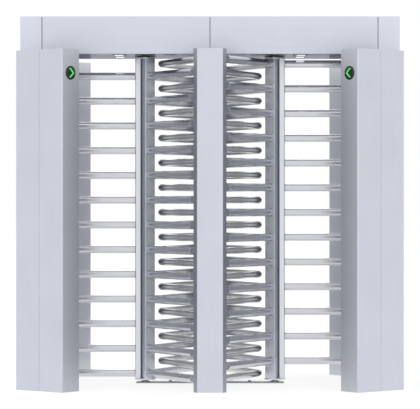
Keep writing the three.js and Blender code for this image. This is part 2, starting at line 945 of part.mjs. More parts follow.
for (const [sideName, side] of sides) {
  const axis = new THREE.Group();
  axis.position.set(side * axisOffset, 0, 0);
  group.add(axis);
  add(`${sideName}_floor_bearing`, floorBearing(), zincPlate(), axis);
  add(`${sideName}_rotor_core`, rotorCore(), polishedTube(), axis);
  for (let i = 0; i < wingCount; i += 1) {
    const geometry = wing(side < 0 ? lowLevel : highLevel);
    const mesh = add(`${sideName}_wing_${i + 1}`, geometry, polishedTube(), axis);
    const outward = side < 0 ? Math.PI : 0;
    mesh.rotation.z = outward + (2 * Math.PI * i) / wingCount;
  }
  add(`${sideName}_mechanism_plate`, mechanismPlate(side), zincPlate(), axis);
  add(`${sideName}_top_bearing`, topBearing(), plainSteel(), axis);
  add(`${sideName}_locking_wheel`, lockingWheel(), plainSteel(), axis);
  const pawl = add(`${sideName}_lock_pawl`, lockPawl(side), plainSteel(), axis);
  pawl.position.set(side * pawlReach, pawlPivotY, 0);
  add(`${sideName}_lock_solenoid`, solenoidBody(side), coilHousing(), axis);
  add(`${sideName}_solenoid_plunger`, solenoidPlunger(side), zincPlate(), axis);
}

add('header_pan', headerPan(), greyPanel());
for (const [endName, end] of ends) {
  add(`${endName}_header_beam`, headerBeam(end), plainSteel());
}
for (const [sideName, side] of sides) {
  add(`${sideName}_header_hood`, headerHood(side), satinPanel());
  add(`${sideName}_header_lid`, headerLid(side), satinPanel());
  add(`${sideName}_hinge_rod`, hingeRod(side), zincPlate());
  add(`${sideName}_header_end`, endCover(side), satinPanel());
  add(`${sideName}_lamp_frame`, lampFrame(side), darkPlastic());
  add(`${sideName}_lamp_lens`, lampLens(side), lampGlass());
}
add('control_unit', controlUnit(), coilHousing());

export default group;
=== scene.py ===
"""Looks of a twin full height turnstile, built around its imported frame. Metres, +Z up, front is -Y."""

import logging
import math
from dataclasses import dataclass
from enum import Enum
from typing import Callable, Optional, Sequence, Union

import bmesh
import bpy
import numpy as np
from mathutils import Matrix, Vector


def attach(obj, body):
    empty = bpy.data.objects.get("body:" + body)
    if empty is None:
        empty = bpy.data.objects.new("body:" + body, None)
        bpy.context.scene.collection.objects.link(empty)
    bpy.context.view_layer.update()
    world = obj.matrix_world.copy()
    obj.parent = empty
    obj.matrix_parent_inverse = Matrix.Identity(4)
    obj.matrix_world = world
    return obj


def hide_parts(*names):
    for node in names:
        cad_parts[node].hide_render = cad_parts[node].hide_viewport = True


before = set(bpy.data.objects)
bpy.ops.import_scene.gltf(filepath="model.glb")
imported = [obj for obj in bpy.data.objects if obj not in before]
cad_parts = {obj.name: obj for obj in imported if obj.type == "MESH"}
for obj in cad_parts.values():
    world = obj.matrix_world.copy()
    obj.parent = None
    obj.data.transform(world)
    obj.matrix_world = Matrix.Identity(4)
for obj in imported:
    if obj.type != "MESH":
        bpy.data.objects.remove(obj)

Array = np.ndarray
Tree = bpy.types.NodeTree
Socket = bpy.types.NodeSocket
Material = bpy.types.Material
Radii = Union[float, Sequence[float]]

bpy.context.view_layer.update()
WELD_DISTANCE = 1e-6
SHARP_ANGLE = math.radians(28)
BEVEL_ANGLE = math.radians(50)
MM_PER_METRE = 1000
NOISE_MIDDLE = (0.3, 0.7)

# How many points an arc gets, from the least edge to the panels' wide bends, and then a full circle.
PLATE_STEPS, EDGE_STEPS, ROUND_EDGE_STEPS, CORNER_STEPS = 2, 3, 4, 5
QUARTER_STEPS, ARC_STEPS, BEND_STEPS = 6, 7, 9
SCREW_STEPS, RING_STEPS, TUBE_STEPS, TURNED_STEPS = 20, 24, 28, 48

# Metres: the play between fitted parts, and the radii of plain and of softened edges.
GAP = 0.0003
EASED = 0.0004
ROUNDED = 0.001

log = logging.getLogger("turnstile")


class Place(Enum):
    """A side or an end of the gate; the value is the sign of its X or Y."""

    @property
    def word(self) -> str:
        """Its name as CAD nodes write it."""
        return self.name.lower()


class Side(Place):
    """Left or right lane."""

    LEFT = -1
    RIGHT = 1


class End(Place):
    """Front or rear."""

    FRONT = -1
    REAR = 1


class Grain(Enum):
    """Which way a sheet was brushed; the value is the axis along the grain."""

    ALONG_X = 0
    ALONG_Y = 1
    UPRIGHT = 2


class Axis(Enum):
    """The axis a local frame's third direction points along; the value is how its columns are reordered."""

    X = (2, 0, 1)
    Y = (0, 2, 1)
    Z = (0, 1, 2)


# Curves and outlines


def circle(radius: float, steps: int = TUBE_STEPS, phase: float = 0.5) -> Array:
    """Points at equal angles on a circle.

    Args:
        radius: the circle's radius.
        steps: how many points.
        phase: share of a step by which the first point is turned.

    Returns:
        An array of (steps, 2) points.
    """
    angle = (np.arange(steps) + phase) * 2 * math.pi / steps
    return radius * np.stack([np.cos(angle), np.sin(angle)], axis=-1)


def quarter(steps: int) -> Array:
    """Angles spread evenly over a quarter turn."""
    return np.linspace(0, math.pi / 2, steps)


def unit(vectors: Array) -> Array:
    """Vectors divided by their own lengths."""
    return vectors / np.linalg.norm(vectors, axis=-1, keepdims=True)


def fillets(before: Array, corner: Array, after: Array, radius: Array, steps: int) -> Array:
    """Arcs that round corners: centre + radius * (u turned evenly to v), u and v square to the two edges.

    Args:
        before: the points ahead of the corners, (m, 2).
        corner: the corners, (m, 2).
        after: the points past the corners, (m, 2).
        radius: each corner's radius, (m,).
        steps: points on each arc.

    Returns:
        An array of (m * steps, 2) points.
    """
    back, ahead = unit(before - corner), unit(after - corner)
    cosine = np.clip((back * ahead).sum(-1, keepdims=True), -1, 1)
    half = np.arccos(cosine) / 2
    reach = radius[:, None]
    centre = corner + unit(back + ahead) * reach / np.sin(half)
    start = unit(corner + back * reach / np.tan(half) - centre)
    stop = unit(corner + ahead * reach / np.tan(half) - centre)
    turn = (math.pi - 2 * half)[:, None, :]
    share = np.linspace(0, 1, steps)[None, :, None]
    arc = (np.sin((1 - share) * turn) * start[:, None] + np.sin(share * turn) * stop[:, None]) / np.sin(turn)
    return (centre[:, None] + reach[:, None] * arc).reshape(-1, 2)


def rounded_outline(corners: Sequence, radius: Radii, steps: int = ARC_STEPS) -> Array:
    """A closed outline whose corners are rounded by arcs.

    Args:
        corners: the sharp corners, (m, 2).
        radius: one radius, or one for each corner.
        steps: points on each arc.

    Returns:
        An array of (m * steps, 2) points.
    """
    points = np.asarray(corners, float)
    radii = np.broadcast_to(np.asarray(radius, float), len(points))
    return fillets(np.roll(points, 1, 0), points, np.roll(points, -1, 0), radii, steps)


def rounded_line(corners: Sequence, radius: Radii, steps: int = ARC_STEPS) -> Array:
    """An open line whose inner corners are rounded by arcs.

    Args:
        corners: the sharp corners, ends included, (m, 2).
        radius: one radius, or one for each inner corner.
        steps: points on each arc.

    Returns:
        An array of points, (n, 2).
    """
    points = np.asarray(corners, float)
    radii = np.broadcast_to(np.asarray(radius, float), len(points) - 2)
    bends = fillets(points[:-2], points[1:-1], points[2:], radii, steps)
    return np.concatenate([points[:1], bends, points[-1:]])


def sideways(points: Array, closed: bool) -> Array:
    """Mitre vectors to the left of a line: the two edges' mean normal, stretched by one over its cosine.

    Args:
        points: the line, (n, 2).
        closed: whether its ends meet.

    Returns:
        An array of (n, 2) vectors, each reaching a line one unit to the left.
    """
    edge = unit(np.roll(points, -1, 0) - points)
    normal = np.stack([-edge[:, 1], edge[:, 0]], axis=-1)
    before = np.roll(normal, 1, 0)
    if not closed:
        before[0], normal[-1] = normal[0], normal[-2]
        before[-1] = normal[-2]
    return (before + normal) / (1 + (before * normal).sum(-1, keepdims=True))


def box_outline(low: Sequence[float], high: Sequence[float], radius: float,
                steps: int = CORNER_STEPS) -> Array:
    """A rectangle between two corners with rounded corners."""
    corners = [(low[0], low[1]), (high[0], low[1]), (high[0], high[1]), (low[0], high[1])]
    return rounded_outline(corners, radius, steps)


def lifted(plan: Array, height: Union[float, Array]) -> Array:
    """Plan points with a height, or heights that broadcast against them, as their third coordinate."""
    return np.concatenate([plan, np.broadcast_to(height, plan.shape[:-1] + (1,))], axis=-1)


def centred_box(half_x: float, half_y: float, radius: float, steps: int = CORNER_STEPS) -> Array:
    """A rectangle round the origin with rounded corners."""
    return box_outline((-half_x, -half_y), (half_x, half_y), radius, steps)


# Surfaces with two parameters, as (along, around, 3) arrays


def turned(profile: Sequence, steps: int = TURNED_STEPS) -> Array:
    """A surface of revolution: (r cos a, r sin a, z) for each (r, z) of the profile and each angle a."""
    line = np.asarray(profile, float)
    return lifted(line[:, None, :1] * circle(1.0, steps), line[:, None, 1:])


def stacked(outline: Array, low: float, high: float, edge: float = 0.0) -> Array:
    """A prism with eased edges: the outline at four heights, drawn in by the edge at the first and last.

    Args:
        outline: a closed outline that its middle sees all of, anticlockwise, (n, 2).
        low: height of the bottom face.
        high: height of the top face.
        edge: how much each edge is eased.

    Returns:
        An array of (4, n, 3) points.
    """
    inner = outline + sideways(outline, True) * edge
    heights = np.array([low, low + edge, high - edge, high])
    return lifted(np.stack([inner, outline, outline, inner]), heights[:, None, None])


def bent(line: Array, thickness: float, low: float, high: float, closed: bool = False) -> Array:
    """A bent sheet: its four-cornered edge section, one corner pair per face, carried along a plan line.

    Args:
        line: the sheet's outer face in plan, metal to its left, (n, 2).
        thickness: the metal's thickness.
        low: height of the lower edge.
        high: height of the upper edge.
        closed: whether the sheet goes all the way round.

    Returns:
        An array of (n, 4, 3) points.
    """
    inner = line + sideways(line, closed) * thickness
    return lifted(np.stack([line, line, inner, inner], axis=1), np.array([low, high, high, low])[:, None])


def carried(path: Array, section: Array) -> Array:
    """A section carried along a level path: point + a * left normal + b * up for each (a, b) of the section.

    Args:
        path: the path's points, (n, 3), all at one height.
        section: the section's (a, b) points, (m, 2).

    Returns:
        An array of (n, m, 3) points.
    """
    side = lifted(sideways(path[:, :2], False), 0.0)
    up = np.array([0.0, 0.0, 1.0])
    return path[:, None] + side[:, None] * section[None, :, :1] + up * section[None, :, 1:]


def facing(points: Array, axis: Axis, origin: Sequence[float] = (0, 0, 0)) -> Array:
    """Points of a local frame whose third direction becomes the named axis, moved to an origin."""
    return np.asarray(points)[..., list(axis.value)] + np.asarray(origin, float)


def swung(points: Array, angle: float, centre: Sequence[float] = (0, 0)) -> Array:
    """Points turned about the Z axis by an angle and then moved by a plan vector."""
    cos, sin = math.cos(angle), math.sin(angle)
    turn = np.array([[cos, sin, 0], [-sin, cos, 0], [0, 0, 1]])
    return np.asarray(points) @ turn + np.array([centre[0], centre[1], 0.0])


# Finishes


def linear(colour: str) -> tuple:
    """An sRGB hex colour as linear red, green, blue and alpha."""
    parts = [int(colour[i:i + 2], 16) / 255 for i in (0, 2, 4)]
    return tuple(c / 12.92 if c <= 0.04045 else ((c + 0.055) / 1.055) ** 2.4 for c in parts) + (1.0,)


def add_node(tree: Tree, kind: str, settings: Optional[dict] = None,
             inputs: Optional[dict] = None) -> bpy.types.Node:
    """Adds a shader node with its settings, and sets or links its inputs.

    Args:
        tree: the node tree.
        kind: the node's type name without its ShaderNode prefix.
        settings: attributes of the node.
        inputs: input names or numbers, each with a value or the output that it links to.

    Returns:
        The new node.
    """
    made = tree.nodes.new("ShaderNode" + kind)
    for key, value in (settings or {}).items():
        setattr(made, key, value)
    for key, value in (inputs or {}).items():
        if isinstance(value, Socket):
            tree.links.new(value, made.inputs[key])
        else:
            made.inputs[key].default_value = value
    return made


def emptied(owner: Union[Material, bpy.types.World]) -> Tree:
    """A material's or world's node tree, with nothing in it."""
    owner.use_nodes = True
    owner.node_tree.nodes.clear()
    return owner.node_tree


def blended(tree: Tree, share: Socket, first: str, second: str) -> Socket:
    """Two colours mixed: the share says how much of the second shows. Sockets 6, 7 and 2 are the colours."""
    mixed = add_node(tree, "Mix", {"data_type": "RGBA"}, {0: share, 6: linear(first), 7: linear(second)})
    return mixed.outputs[2]


def combined(tree: Tree, operation: str, *values: Union[Socket, float]) -> Socket:
    """The result of a Math node's operation on two or three values."""
    return add_node(tree, "Math", {"operation": operation}, dict(enumerate(values))).outputs[0]


@dataclass(frozen=True)
class Finish:
    """What every finish shares: a name, a colour that patterns blend to a shade, and a roughness."""

    name: str
    colour: str
    roughness: float
    metallic: float = 1.0
    shade: str = "808080"

    def material(self) -> Material:
        """Builds the finish as a node material.

        Returns:
            The new material.
        """
        made = bpy.data.materials.new(self.name)
        tree = emptied(made)
        shader = add_node(tree, "BsdfPrincipled", inputs={
            "Base Color": linear(self.colour), "Metallic": self.metallic, "Roughness": self.roughness,
        })
        self.dress(tree, shader)
        add_node(tree, "OutputMaterial", inputs={"Surface": shader.outputs[0]})
        return made

    def dress(self, tree: Tree, shader: bpy.types.Node) -> None:
        """Adds the finish's own detail to the shader."""

    def noise(self, tree: Tree, sizes_mm: Sequence[float], detail: float, high: float = 1.0,
              uv: bool = False) -> Socket:
        """A noise texture in real scale, whose middle range is spread from zero to a value.

        Args:
            tree: the node tree.
            sizes_mm: how long its grains are along each axis.
            detail: how many finer layers it has.
            high: the value where the noise is high.
            uv: whether it follows the piece's own UV map, in metres, in place of Object coordinates.

        Returns:
            The socket with the spread value.
        """
        source = add_node(tree, "TexCoord").outputs["UV" if uv else "Object"]
        scale = tuple(MM_PER_METRE / size for size in sizes_mm)
        placed = add_node(tree, "Mapping", inputs={"Vector": source, "Scale": scale})
        made = add_node(tree, "TexNoise", inputs={
            "Vector": placed.outputs[0], "Scale": 1.0, "Detail": detail})
        low_share, high_share = NOISE_MIDDLE
        return add_node(tree, "MapRange", inputs={
            "Value": made.outputs[0], "From Min": low_share, "From Max": high_share, "To Max": high,
        }).outputs[0]

    def wire(self, tree: Tree, shader: bpy.types.Node, share: Socket, rough: Socket,
             spread: tuple[float, float], height: Socket, depth_mm: float) -> None:
        """Links a pattern's colour, roughness and relief to the shader.

        Args:
            tree: the node tree.
            shader: the shader.
            share: how much the shade shows.
            rough: what moves the roughness, from zero to one.
            spread: how far the roughness goes below and above the finish's own.
            height: the relief's height, from zero to one.
            depth_mm: what that height is worth.
        """
        less, more = spread
        roughness = add_node(tree, "MapRange", inputs={
            "Value": rough, "To Min": self.roughness - less, "To Max": self.roughness + more})
        bump = add_node(tree, "Bump", inputs={
            "Height": height, "Distance": depth_mm / MM_PER_METRE, "Strength": 1.0})
        tree.links.new(blended(tree, share, self.colour, self.shade), shader.inputs["Base Color"])
        tree.links.new(roughness.outputs[0], shader.inputs["Roughness"])
        tree.links.new(bump.outputs[0], shader.inputs["Normal"])


@dataclass(frozen=True)
class SatinSheet(Finish):
    """Satin stainless sheet, belt brushed: long fine lines, and a faint unevenness where it was rolled."""

    shade: str = "b9bdc8"
    grain: Grain = Grain.UPRIGHT
    line_mm: float = 1.6
    line_length_mm: float = 220
    line_depth_mm: float = 0.02
    line_share: float = 0.16
    cloud_mm: float = 260
    cloud_share: float = 0.14
    rough_spread: tuple[float, float] = (0.05, 0.05)
    edge_tint: Optional[str] = None

    def dress(self, tree: Tree, shader: bpy.types.Node) -> None:
        """Brushed lines run along the grain; real ones are 0.2 mm apart, these are drawn coarser to show."""
        sizes = [self.line_mm] * 3
        sizes[self.grain.value] = self.line_length_mm
        lines = self.noise(tree, sizes, detail=3)
        clouds = self.noise(tree, [self.cloud_mm] * 3, detail=2)
        fine = combined(tree, "MULTIPLY", lines, self.line_share)
        share = combined(tree, "MULTIPLY_ADD", clouds, self.cloud_share, fine)
        self.wire(tree, shader, share, lines, self.rough_spread, lines, self.line_depth_mm)
        if self.edge_tint:
            shader.inputs["Specular Tint"].default_value = linear(self.edge_tint)


@dataclass(frozen=True)
class DrawnTube(Finish):
    """Polished stainless tube: bright, with faint draw marks along it and soft hand polish round it."""

    shade: str = "8f949c"
    mark_mm: float = 3.0
    mark_length_mm: float = 300
    mark_depth_mm: float = 0.0008
    mark_share: float = 0.14
    handling_mm: float = 45
    rough_spread: tuple[float, float] = (0.04, 0.06)

    def dress(self, tree: Tree, shader: bpy.types.Node) -> None:
        """Marks follow the tube through its UV map, in metres: U runs along it and V round it."""
        marks = self.noise(tree, [self.mark_length_mm, self.mark_mm, MM_PER_METRE], detail=3, uv=True)
        handling = self.noise(tree, [self.handling_mm] * 3, detail=2)
        share = combined(tree, "MULTIPLY", marks, self.mark_share)
        self.wire(tree, shader, share, handling, self.rough_spread, marks, self.mark_depth_mm)


@dataclass(frozen=True)
class Mottled(Finish):
    """A finish with an even, fine-grained unevenness, such as zinc plate, cast metal or moulded plastic."""

    grain_mm: float = 6.0
    depth_mm: float = 0.05
    blend: float = 0.5
    rough_spread: tuple[float, float] = (0.06, 0.06)

    def dress(self, tree: Tree, shader: bpy.types.Node) -> None:
        """One noise carries the colour, the roughness and a shallow relief."""
        grain = self.noise(tree, [self.grain_mm] * 3, detail=4)
        share = combined(tree, "MULTIPLY", grain, self.blend)
        self.wire(tree, shader, share, grain, self.rough_spread, grain, self.depth_mm)


@dataclass(frozen=True)
class Lit(Finish):
    """Frosted plastic lit from behind by rows of small lamps, so it glows a little unevenly."""

    glow: str = "ffffff"
    strength: float = 1.0
    spot_mm: float = 12.0
    spot_share: float = 0.12

    def dress(self, tree: Tree, shader: bpy.types.Node) -> None:
        """The glow's colour varies with the spots behind the plastic."""
        spots = self.noise(tree, [self.spot_mm] * 3, detail=1, high=self.spot_share)
        tree.links.new(blended(tree, spots, self.glow, self.colour), shader.inputs["Emission Color"])
        shader.inputs["Emission Strength"].default_value = self.strength


FINISHES: dict[str, Finish] = {
    # Satin stainless sheet: a soft, cool silver that keeps only blurred reflections.
    "panel": SatinSheet("satin_stainless_upright_grain", "d6d9e4", 0.42),
    "panel_long": SatinSheet("satin_stainless_long_grain", "d6d9e4", 0.42, grain=Grain.ALONG_X),
    "panel_deep": SatinSheet("satin_stainless_cross_grain", "c4c7d0", 0.44, grain=Grain.ALONG_Y),
    # The faces that look across the passage, the column's flanks and the header's underside are smoother: the
    # nose's inner faces, the flanks and the underside are greyer copies of the sheet with painted shade, and
    # the underside's edge tint darkens its glancing reflections as painted shade too; the guide wall is a
    # lighter copy with painted light.
    "inner": SatinSheet("satin_stainless_inner_face", "d4d6de", 0.46, shade="bcbfc8"),
    "flank": SatinSheet("satin_stainless_column_flank", "b0b3ba", 0.38, shade="9a9da6"),
    "guide": SatinSheet("satin_stainless_guide_wall", "e4e6ec", 0.36, shade="c8cbd2"),
    "underside": SatinSheet("rolled_stainless_underside", "9a9da6", 0.2, shade="8c8f98",
                            grain=Grain.ALONG_Y, edge_tint="8e909f"),
    # Polished stainless tube: clear highlights with darker edges.
    "tube": DrawnTube("polished_stainless_tube", "d5d6da", 0.21),
    "comb": DrawnTube("polished_stainless_comb_tube", "d7d8d7", 0.21),
    # A lighter, rougher copy of the polished stainless with painted light: it lifts the shaded slot beside
    # the rotor core and the arms' end discs; the comb strips and the plunger share it.
    "core": DrawnTube("polished_stainless_bar", "eef0f4", 0.38),
    # The wings' upright box profiles: brushed like the panels, a little brighter, which is painted light that
    # lifts the shade in the narrow gaps between them.
    "profile": SatinSheet("satin_stainless_box_profile", "e2e5ec", 0.36, shade="cbced6"),
    # Weld beads and steel parts: brushed, turned or plated, duller than the tubes.
    "weld": Mottled("brushed_weld_bead", "a8abb2", 0.38, shade="70747b", grain_mm=3),
    "machined": Mottled("machined_mild_steel", "9a9da3", 0.34, shade="73767c", grain_mm=9),
    "zinc": Mottled("bright_zinc_plate", "b9bdc0", 0.32, shade="8b9295", grain_mm=14),
    "bolt": Mottled("stainless_bolt", "b4b7bc", 0.28, shade="7c8087", grain_mm=4),
    # Moulded and painted dark parts, and the coil's winding.
    "rim": Mottled("black_abs_rim", "14171a", 0.32, 0.0, "23272c", grain_mm=2),
    "glass": Mottled("smoked_green_acrylic_glass", "14301a", 0.08, 0.0, "1c3c22", depth_mm=0.0),
    "coil": Mottled("black_moulded_nylon", "1d2125", 0.55, 0.0, "33383e", grain_mm=2),
    "case": Mottled("grey_moulded_case", "3a4047", 0.5, 0.0, "4a5159", grain_mm=2),
    "seal": Mottled("black_rubber_seal", "17191b", 0.7, 0.0, "2a2d30", grain_mm=3),
    "copper": Mottled("enamelled_copper_winding", "8a4a24", 0.35, shade="5c2d14", grain_mm=1.5),
    "terminal": Mottled("green_terminal_block", "2f7d4a", 0.45, 0.0, "276a3e", grain_mm=2),
    # Lit parts.
    "signal": Lit("green_signal_light", "1f9a2a", 0.3, 0.0, glow="5ccb66", strength=1.0),
    "lamp": Lit("frosted_lamp_lens", "dfe4ee", 0.35, 0.0, glow="f4f6fa", strength=0.82),
}


# Pieces


def linked(name: str, data: bpy.types.ID) -> bpy.types.Object:
    """A new object in the scene that shows a mesh, a light or a camera."""
    made = bpy.data.objects.new(name, data)
    bpy.context.scene.collection.objects.link(made)
    return made


class Skin:
    """Collects surfaces and turns them into one mesh piece."""

    def __init__(self) -> None:
        """Starts with no surface."""
        self.points: list[Array] = []
        self.faces: list[Array] = []
        self.coords: list[Array] = []
        self.slots: list[Array] = []

    def add(self, rings: Array, closed: bool = False, capped: bool = True,
            slot: Union[int, Array] = 0) -> "Skin":
        """Adds a surface whose rows are closed rings.

        Args:
            rings: an array of (k, n, 3) points.
            closed: whether the last row joins the first.
            capped: whether the end rows are closed towards their middles.
            slot: the material slot of its faces, or one for each pair of rows, caps included.

        Returns:
            This skin.
        """
        rings = np.asarray(rings, float)
        if capped and not closed:
            middles = rings[[0, -1]].mean(axis=1, keepdims=True)
            ends = np.repeat(middles, rings.shape[1], axis=1)
            rings = np.concatenate([ends[:1], rings, ends[1:]])
        k, n = rings.shape[:2]
        i, j = np.meshgrid(np.arange(k if closed else k - 1), np.arange(n), indexing="ij")
        ahead, around = (i + 1) % k, (j + 1) % n
        quads = np.stack([i * n + j, i * n + around, ahead * n + around, ahead * n + j], axis=-1)
        steps = np.linalg.norm(np.roll(rings, -1, 0) - rings, axis=2).mean(axis=1)
        turns = np.linalg.norm(np.roll(rings, -1, 1) - rings, axis=2).max(axis=0)
        u = np.concatenate([[0.0], np.cumsum(steps)])
        v = np.concatenate([[0.0], np.cumsum(turns)])
        coords = np.stack([
            np.stack([u[i], u[i], u[i + 1], u[i + 1]], axis=-1),
            np.stack([v[j], v[j + 1], v[j + 1], v[j]], axis=-1),
        ], axis=-1).reshape(-1, 2)
        self.faces.append(quads.reshape(-1, 4) + sum(map(len, self.points)))
        self.points.append(rings.reshape(-1, 3))
        self.coords.append(coords)
        self.slots.append(np.repeat(np.broadcast_to(slot, len(quads)), n))
        return self

    def add_each(self, surfaces: Sequence[Array], slot: int = 0) -> "Skin":
        """Adds several surfaces alike."""
        for rings in surfaces:
            self.add(rings, slot=slot)
        return self

    def moved(self, change: Callable[[Array], Array]) -> "Skin":
        """Passes every point gathered so far through a function of an (n, 3) array."""
        self.points = [change(points) for points in self.points]
        return self

    def shifted(self, place: Sequence[float]) -> "Skin":
        """Moves every point gathered so far by a plan vector."""
        return self.moved(lambda points: swung(points, 0.0, place))

    def piece(self, name: str, body: str, finishes: Sequence[Material], replaced: str,
              edge: float) -> bpy.types.Object:
        """Makes the mesh, welds its seams and poles, turns its faces outwards and hands it to the frame.

        Args:
            name: the piece's name.
            body: the CAD body it rides on.
            finishes: its materials, in slot order.
            replaced: the CAD node that it stands for.
            edge: how wide a live bevel its sharp edges get, in metres.

        Returns:
            The finished object.
        """
        mesh = bpy.data.meshes.new(name)
        mesh.from_pydata(np.concatenate(self.points), [], np.concatenate(self.faces).tolist())
        mesh.polygons.foreach_set("material_index", np.concatenate(self.slots).astype(np.int32))
        layer = mesh.uv_layers.new(name="UVMap")
        layer.data.foreach_set("uv", np.concatenate(self.coords).astype(np.float32).ravel())
        for made in finishes:
            mesh.materials.append(made)
        work = bmesh.new()
        work.from_mesh(mesh)
        work.verts.ensure_lookup_table()
        ends = np.cumsum([len(points) for points in self.points])
        shells = [work.verts[end - len(points):end] for end, points in zip(ends, self.points)]
        for shell in shells:  # each surface closes on itself, never onto a neighbour that it only touches
            bmesh.ops.remove_doubles(work, verts=shell, dist=WELD_DISTANCE)
        bmesh.ops.dissolve_degenerate(work, edges=work.edges, dist=WELD_DISTANCE)
        bmesh.ops.recalc_face_normals(work, faces=work.faces)
        work.to_mesh(mesh)
        work.free()
        mesh.shade_smooth()
        mesh.set_sharp_from_angle(angle=SHARP_ANGLE)
        made = linked(name, mesh)
        if edge > 0:
            bevel = made.modifiers.new("eased_edges", "BEVEL")
            bevel.width = edge
            bevel.segments = 2
            bevel.limit_method = "ANGLE"
            bevel.angle_limit = BEVEL_ANGLE
            bevel.harden_normals = True
        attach(made, body)
        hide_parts(replaced)
        return made


def hex_head(centre: Sequence[float], across: float, height: float, sign: int = 1) -> Array:
    """A hexagon bolt head: a six-sided prism whose outer corners are turned off, as five stacked outlines.

    Args:
        centre: the middle of the face it sits on.
        across: its width across flats.
        height: its height.
        sign: whether it stands up or hangs down.

    Returns:
        An array of (5, 24, 3) points.
    """
    washer_share, shoulder_share, top_share, corner_share = 1.2, 1.08, 0.93, 1.03
    level_shares = np.array([0, 0.12, 0.12, 0.82, 1.0])
    ring = circle(1.0, RING_STEPS)
    angle = np.arctan2(ring[:, 1], ring[:, 0])
    half = across / 2
    flat = half / np.cos((angle + math.pi / 6) % (math.pi / 3) - math.pi / 6)
    washer = np.full(len(ring), half * washer_share)
    top = np.minimum(flat, half * corner_share) * top_share
    radii = np.stack([washer, washer, flat, np.minimum(flat, half * shoulder_share), top])
    levels = level_shares[:, None, None] * height * sign
    return facing(lifted(radii[..., None] * ring, levels), Axis.Z, centre)


def button_head(centre: Sequence[float], radius: float, height: float, axis: Axis) -> Array:
    """A button screw with a round socket: an ellipse quarter over the head, then down into the socket."""
    crown_share, socket_share, floor_share, point_share = 0.62, 0.34, 0.45, 0.4
    turn = quarter(QUARTER_STEPS)
    dome = np.stack([radius * (np.cos(turn) * crown_share + 1 - crown_share), height * np.sin(turn)], axis=-1)
    bore = radius * socket_share
    socket = np.array([[bore, height], [bore, height * floor_share], [0, height * point_share]])
    profile = np.concatenate([[[0, 0], [radius, 0]], dome, socket])
    return facing(turned(profile, SCREW_STEPS), axis, centre)


@dataclass(frozen=True)
class Layout:
    """The gate's shared sizes in metres."""

    axis_offset: float = 0.410
    sweep_radius: float = 0.615
    arm_count: int = 13
    arm_pitch: float = 0.1564
    arm_radius: float = 0.02415
    first_arm: float = 0.062
    profile_reach: float = 0.032
    core_radius: float = 0.0262
    profile_inner: float = 0.0265
    profile_depth: float = 0.036
    profile_half: float = 0.035
    hub_thickness: float = 0.008
    hub_radius: float = 0.067
    headroom: float = 0.008
    header_height: float = 0.235
    header_half: float = 0.265
    sheet: float = 0.0025
    seam: float = 0.004
    column_half: float = 0.099
    column_depth: float = 0.285
    column_clearance: float = 0.0256
    guide_x: float = 1.058
    outer_x: float = 1.181
    end_length: float = 0.135
    tie_thickness: float = 0.008

    @property
    def column_back(self) -> float:
        """Y of the columns' back faces: a clearance outside the sweep at the columns' sides."""
        reach, across = self.sweep_radius + self.column_clearance, self.axis_offset - self.column_half
        return math.sqrt(reach ** 2 - across ** 2)

    @property
    def nose_y(self) -> float:
        """Y of the foremost faces."""
        return self.column_back + self.column_depth

    @property
    def levels(self) -> Array:
        """Heights of the lower set of arms."""
        return self.first_arm + np.arange(self.arm_count) * self.arm_pitch

    @property
    def profile_bottom(self) -> float:
        """Lower end of the wings' upright profiles."""
        return self.first_arm - self.profile_reach

    @property
    def profile_top(self) -> float:
        """Upper end of the wings' upright profiles."""
        return self.first_arm + (self.arm_count - 0.5) * self.arm_pitch + self.profile_reach

    @property
    def clear_height(self) -> float:
        """Height of the header's underside."""
        return self.profile_top + self.hub_thickness + self.headroom

    @property
    def top(self) -> float:
        """Height of the whole gate."""
        return self.clear_height + self.header_height

    @property
    def end_seam(self) -> float:
        """X of the seam between the long header covers and the end covers."""
        return self.outer_x - self.end_length


@dataclass
class Assembly:
    """What each sub-assembly is given, and how it hands its pieces over."""

    layout: Layout
    finishes: dict[str, Material]

    @property
    def word(self) -> str:
        """How the names of its pieces and of their CAD nodes start."""
        return ""

    def keep(self, skin: Skin, name: str, node: str, slot: str, tones: Sequence[str], body: str = "",
             edge: float = 0.0) -> None:
        """Makes a piece, and logs it with its count of faces.

        Args:
            skin: its surfaces.
            name: the piece's name.
            node: the CAD node it stands for.
            slot: the record's material slot; not used.
            tones: the names of its finishes, in slot order.
            body: the moving CAD body it rides on, if any.
            edge: how wide a live bevel its sharp edges get, in metres.
        """
        carrier = self.word + body if body else "root"
        finishes = [self.finishes[tone] for tone in tones]
        made = skin.piece(self.word + name, carrier, finishes, self.word + node, edge)
        log.info("%s: %s, %d faces", type(self).__name__, made.name, len(made.data.polygons))

    def coat(self, node: str, tone: str) -> None:
        """Gives a CAD node that stays as it is a finish of its own.

        Args:
            node: the CAD node's name.
            tone: the finish's name.
        """
        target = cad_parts[self.word + node]
        if not target.material_slots:
            target.data.materials.append(self.finishes[tone])
        for holder in target.material_slots:
            holder.material = self.finishes[tone]


@dataclass
class Sided(Assembly):
    """A sub-assembly of one side."""

    side: Side = Side.LEFT

    @property
    def word(self) -> str:
        """How the names of its pieces and of their CAD nodes start."""
        return f"{self.side.word}_"

    @property
    def centre(self) -> tuple[float, float]:
        """Its side's rotor axis in plan."""
        return self.side.value * self.layout.axis_offset, 0.0


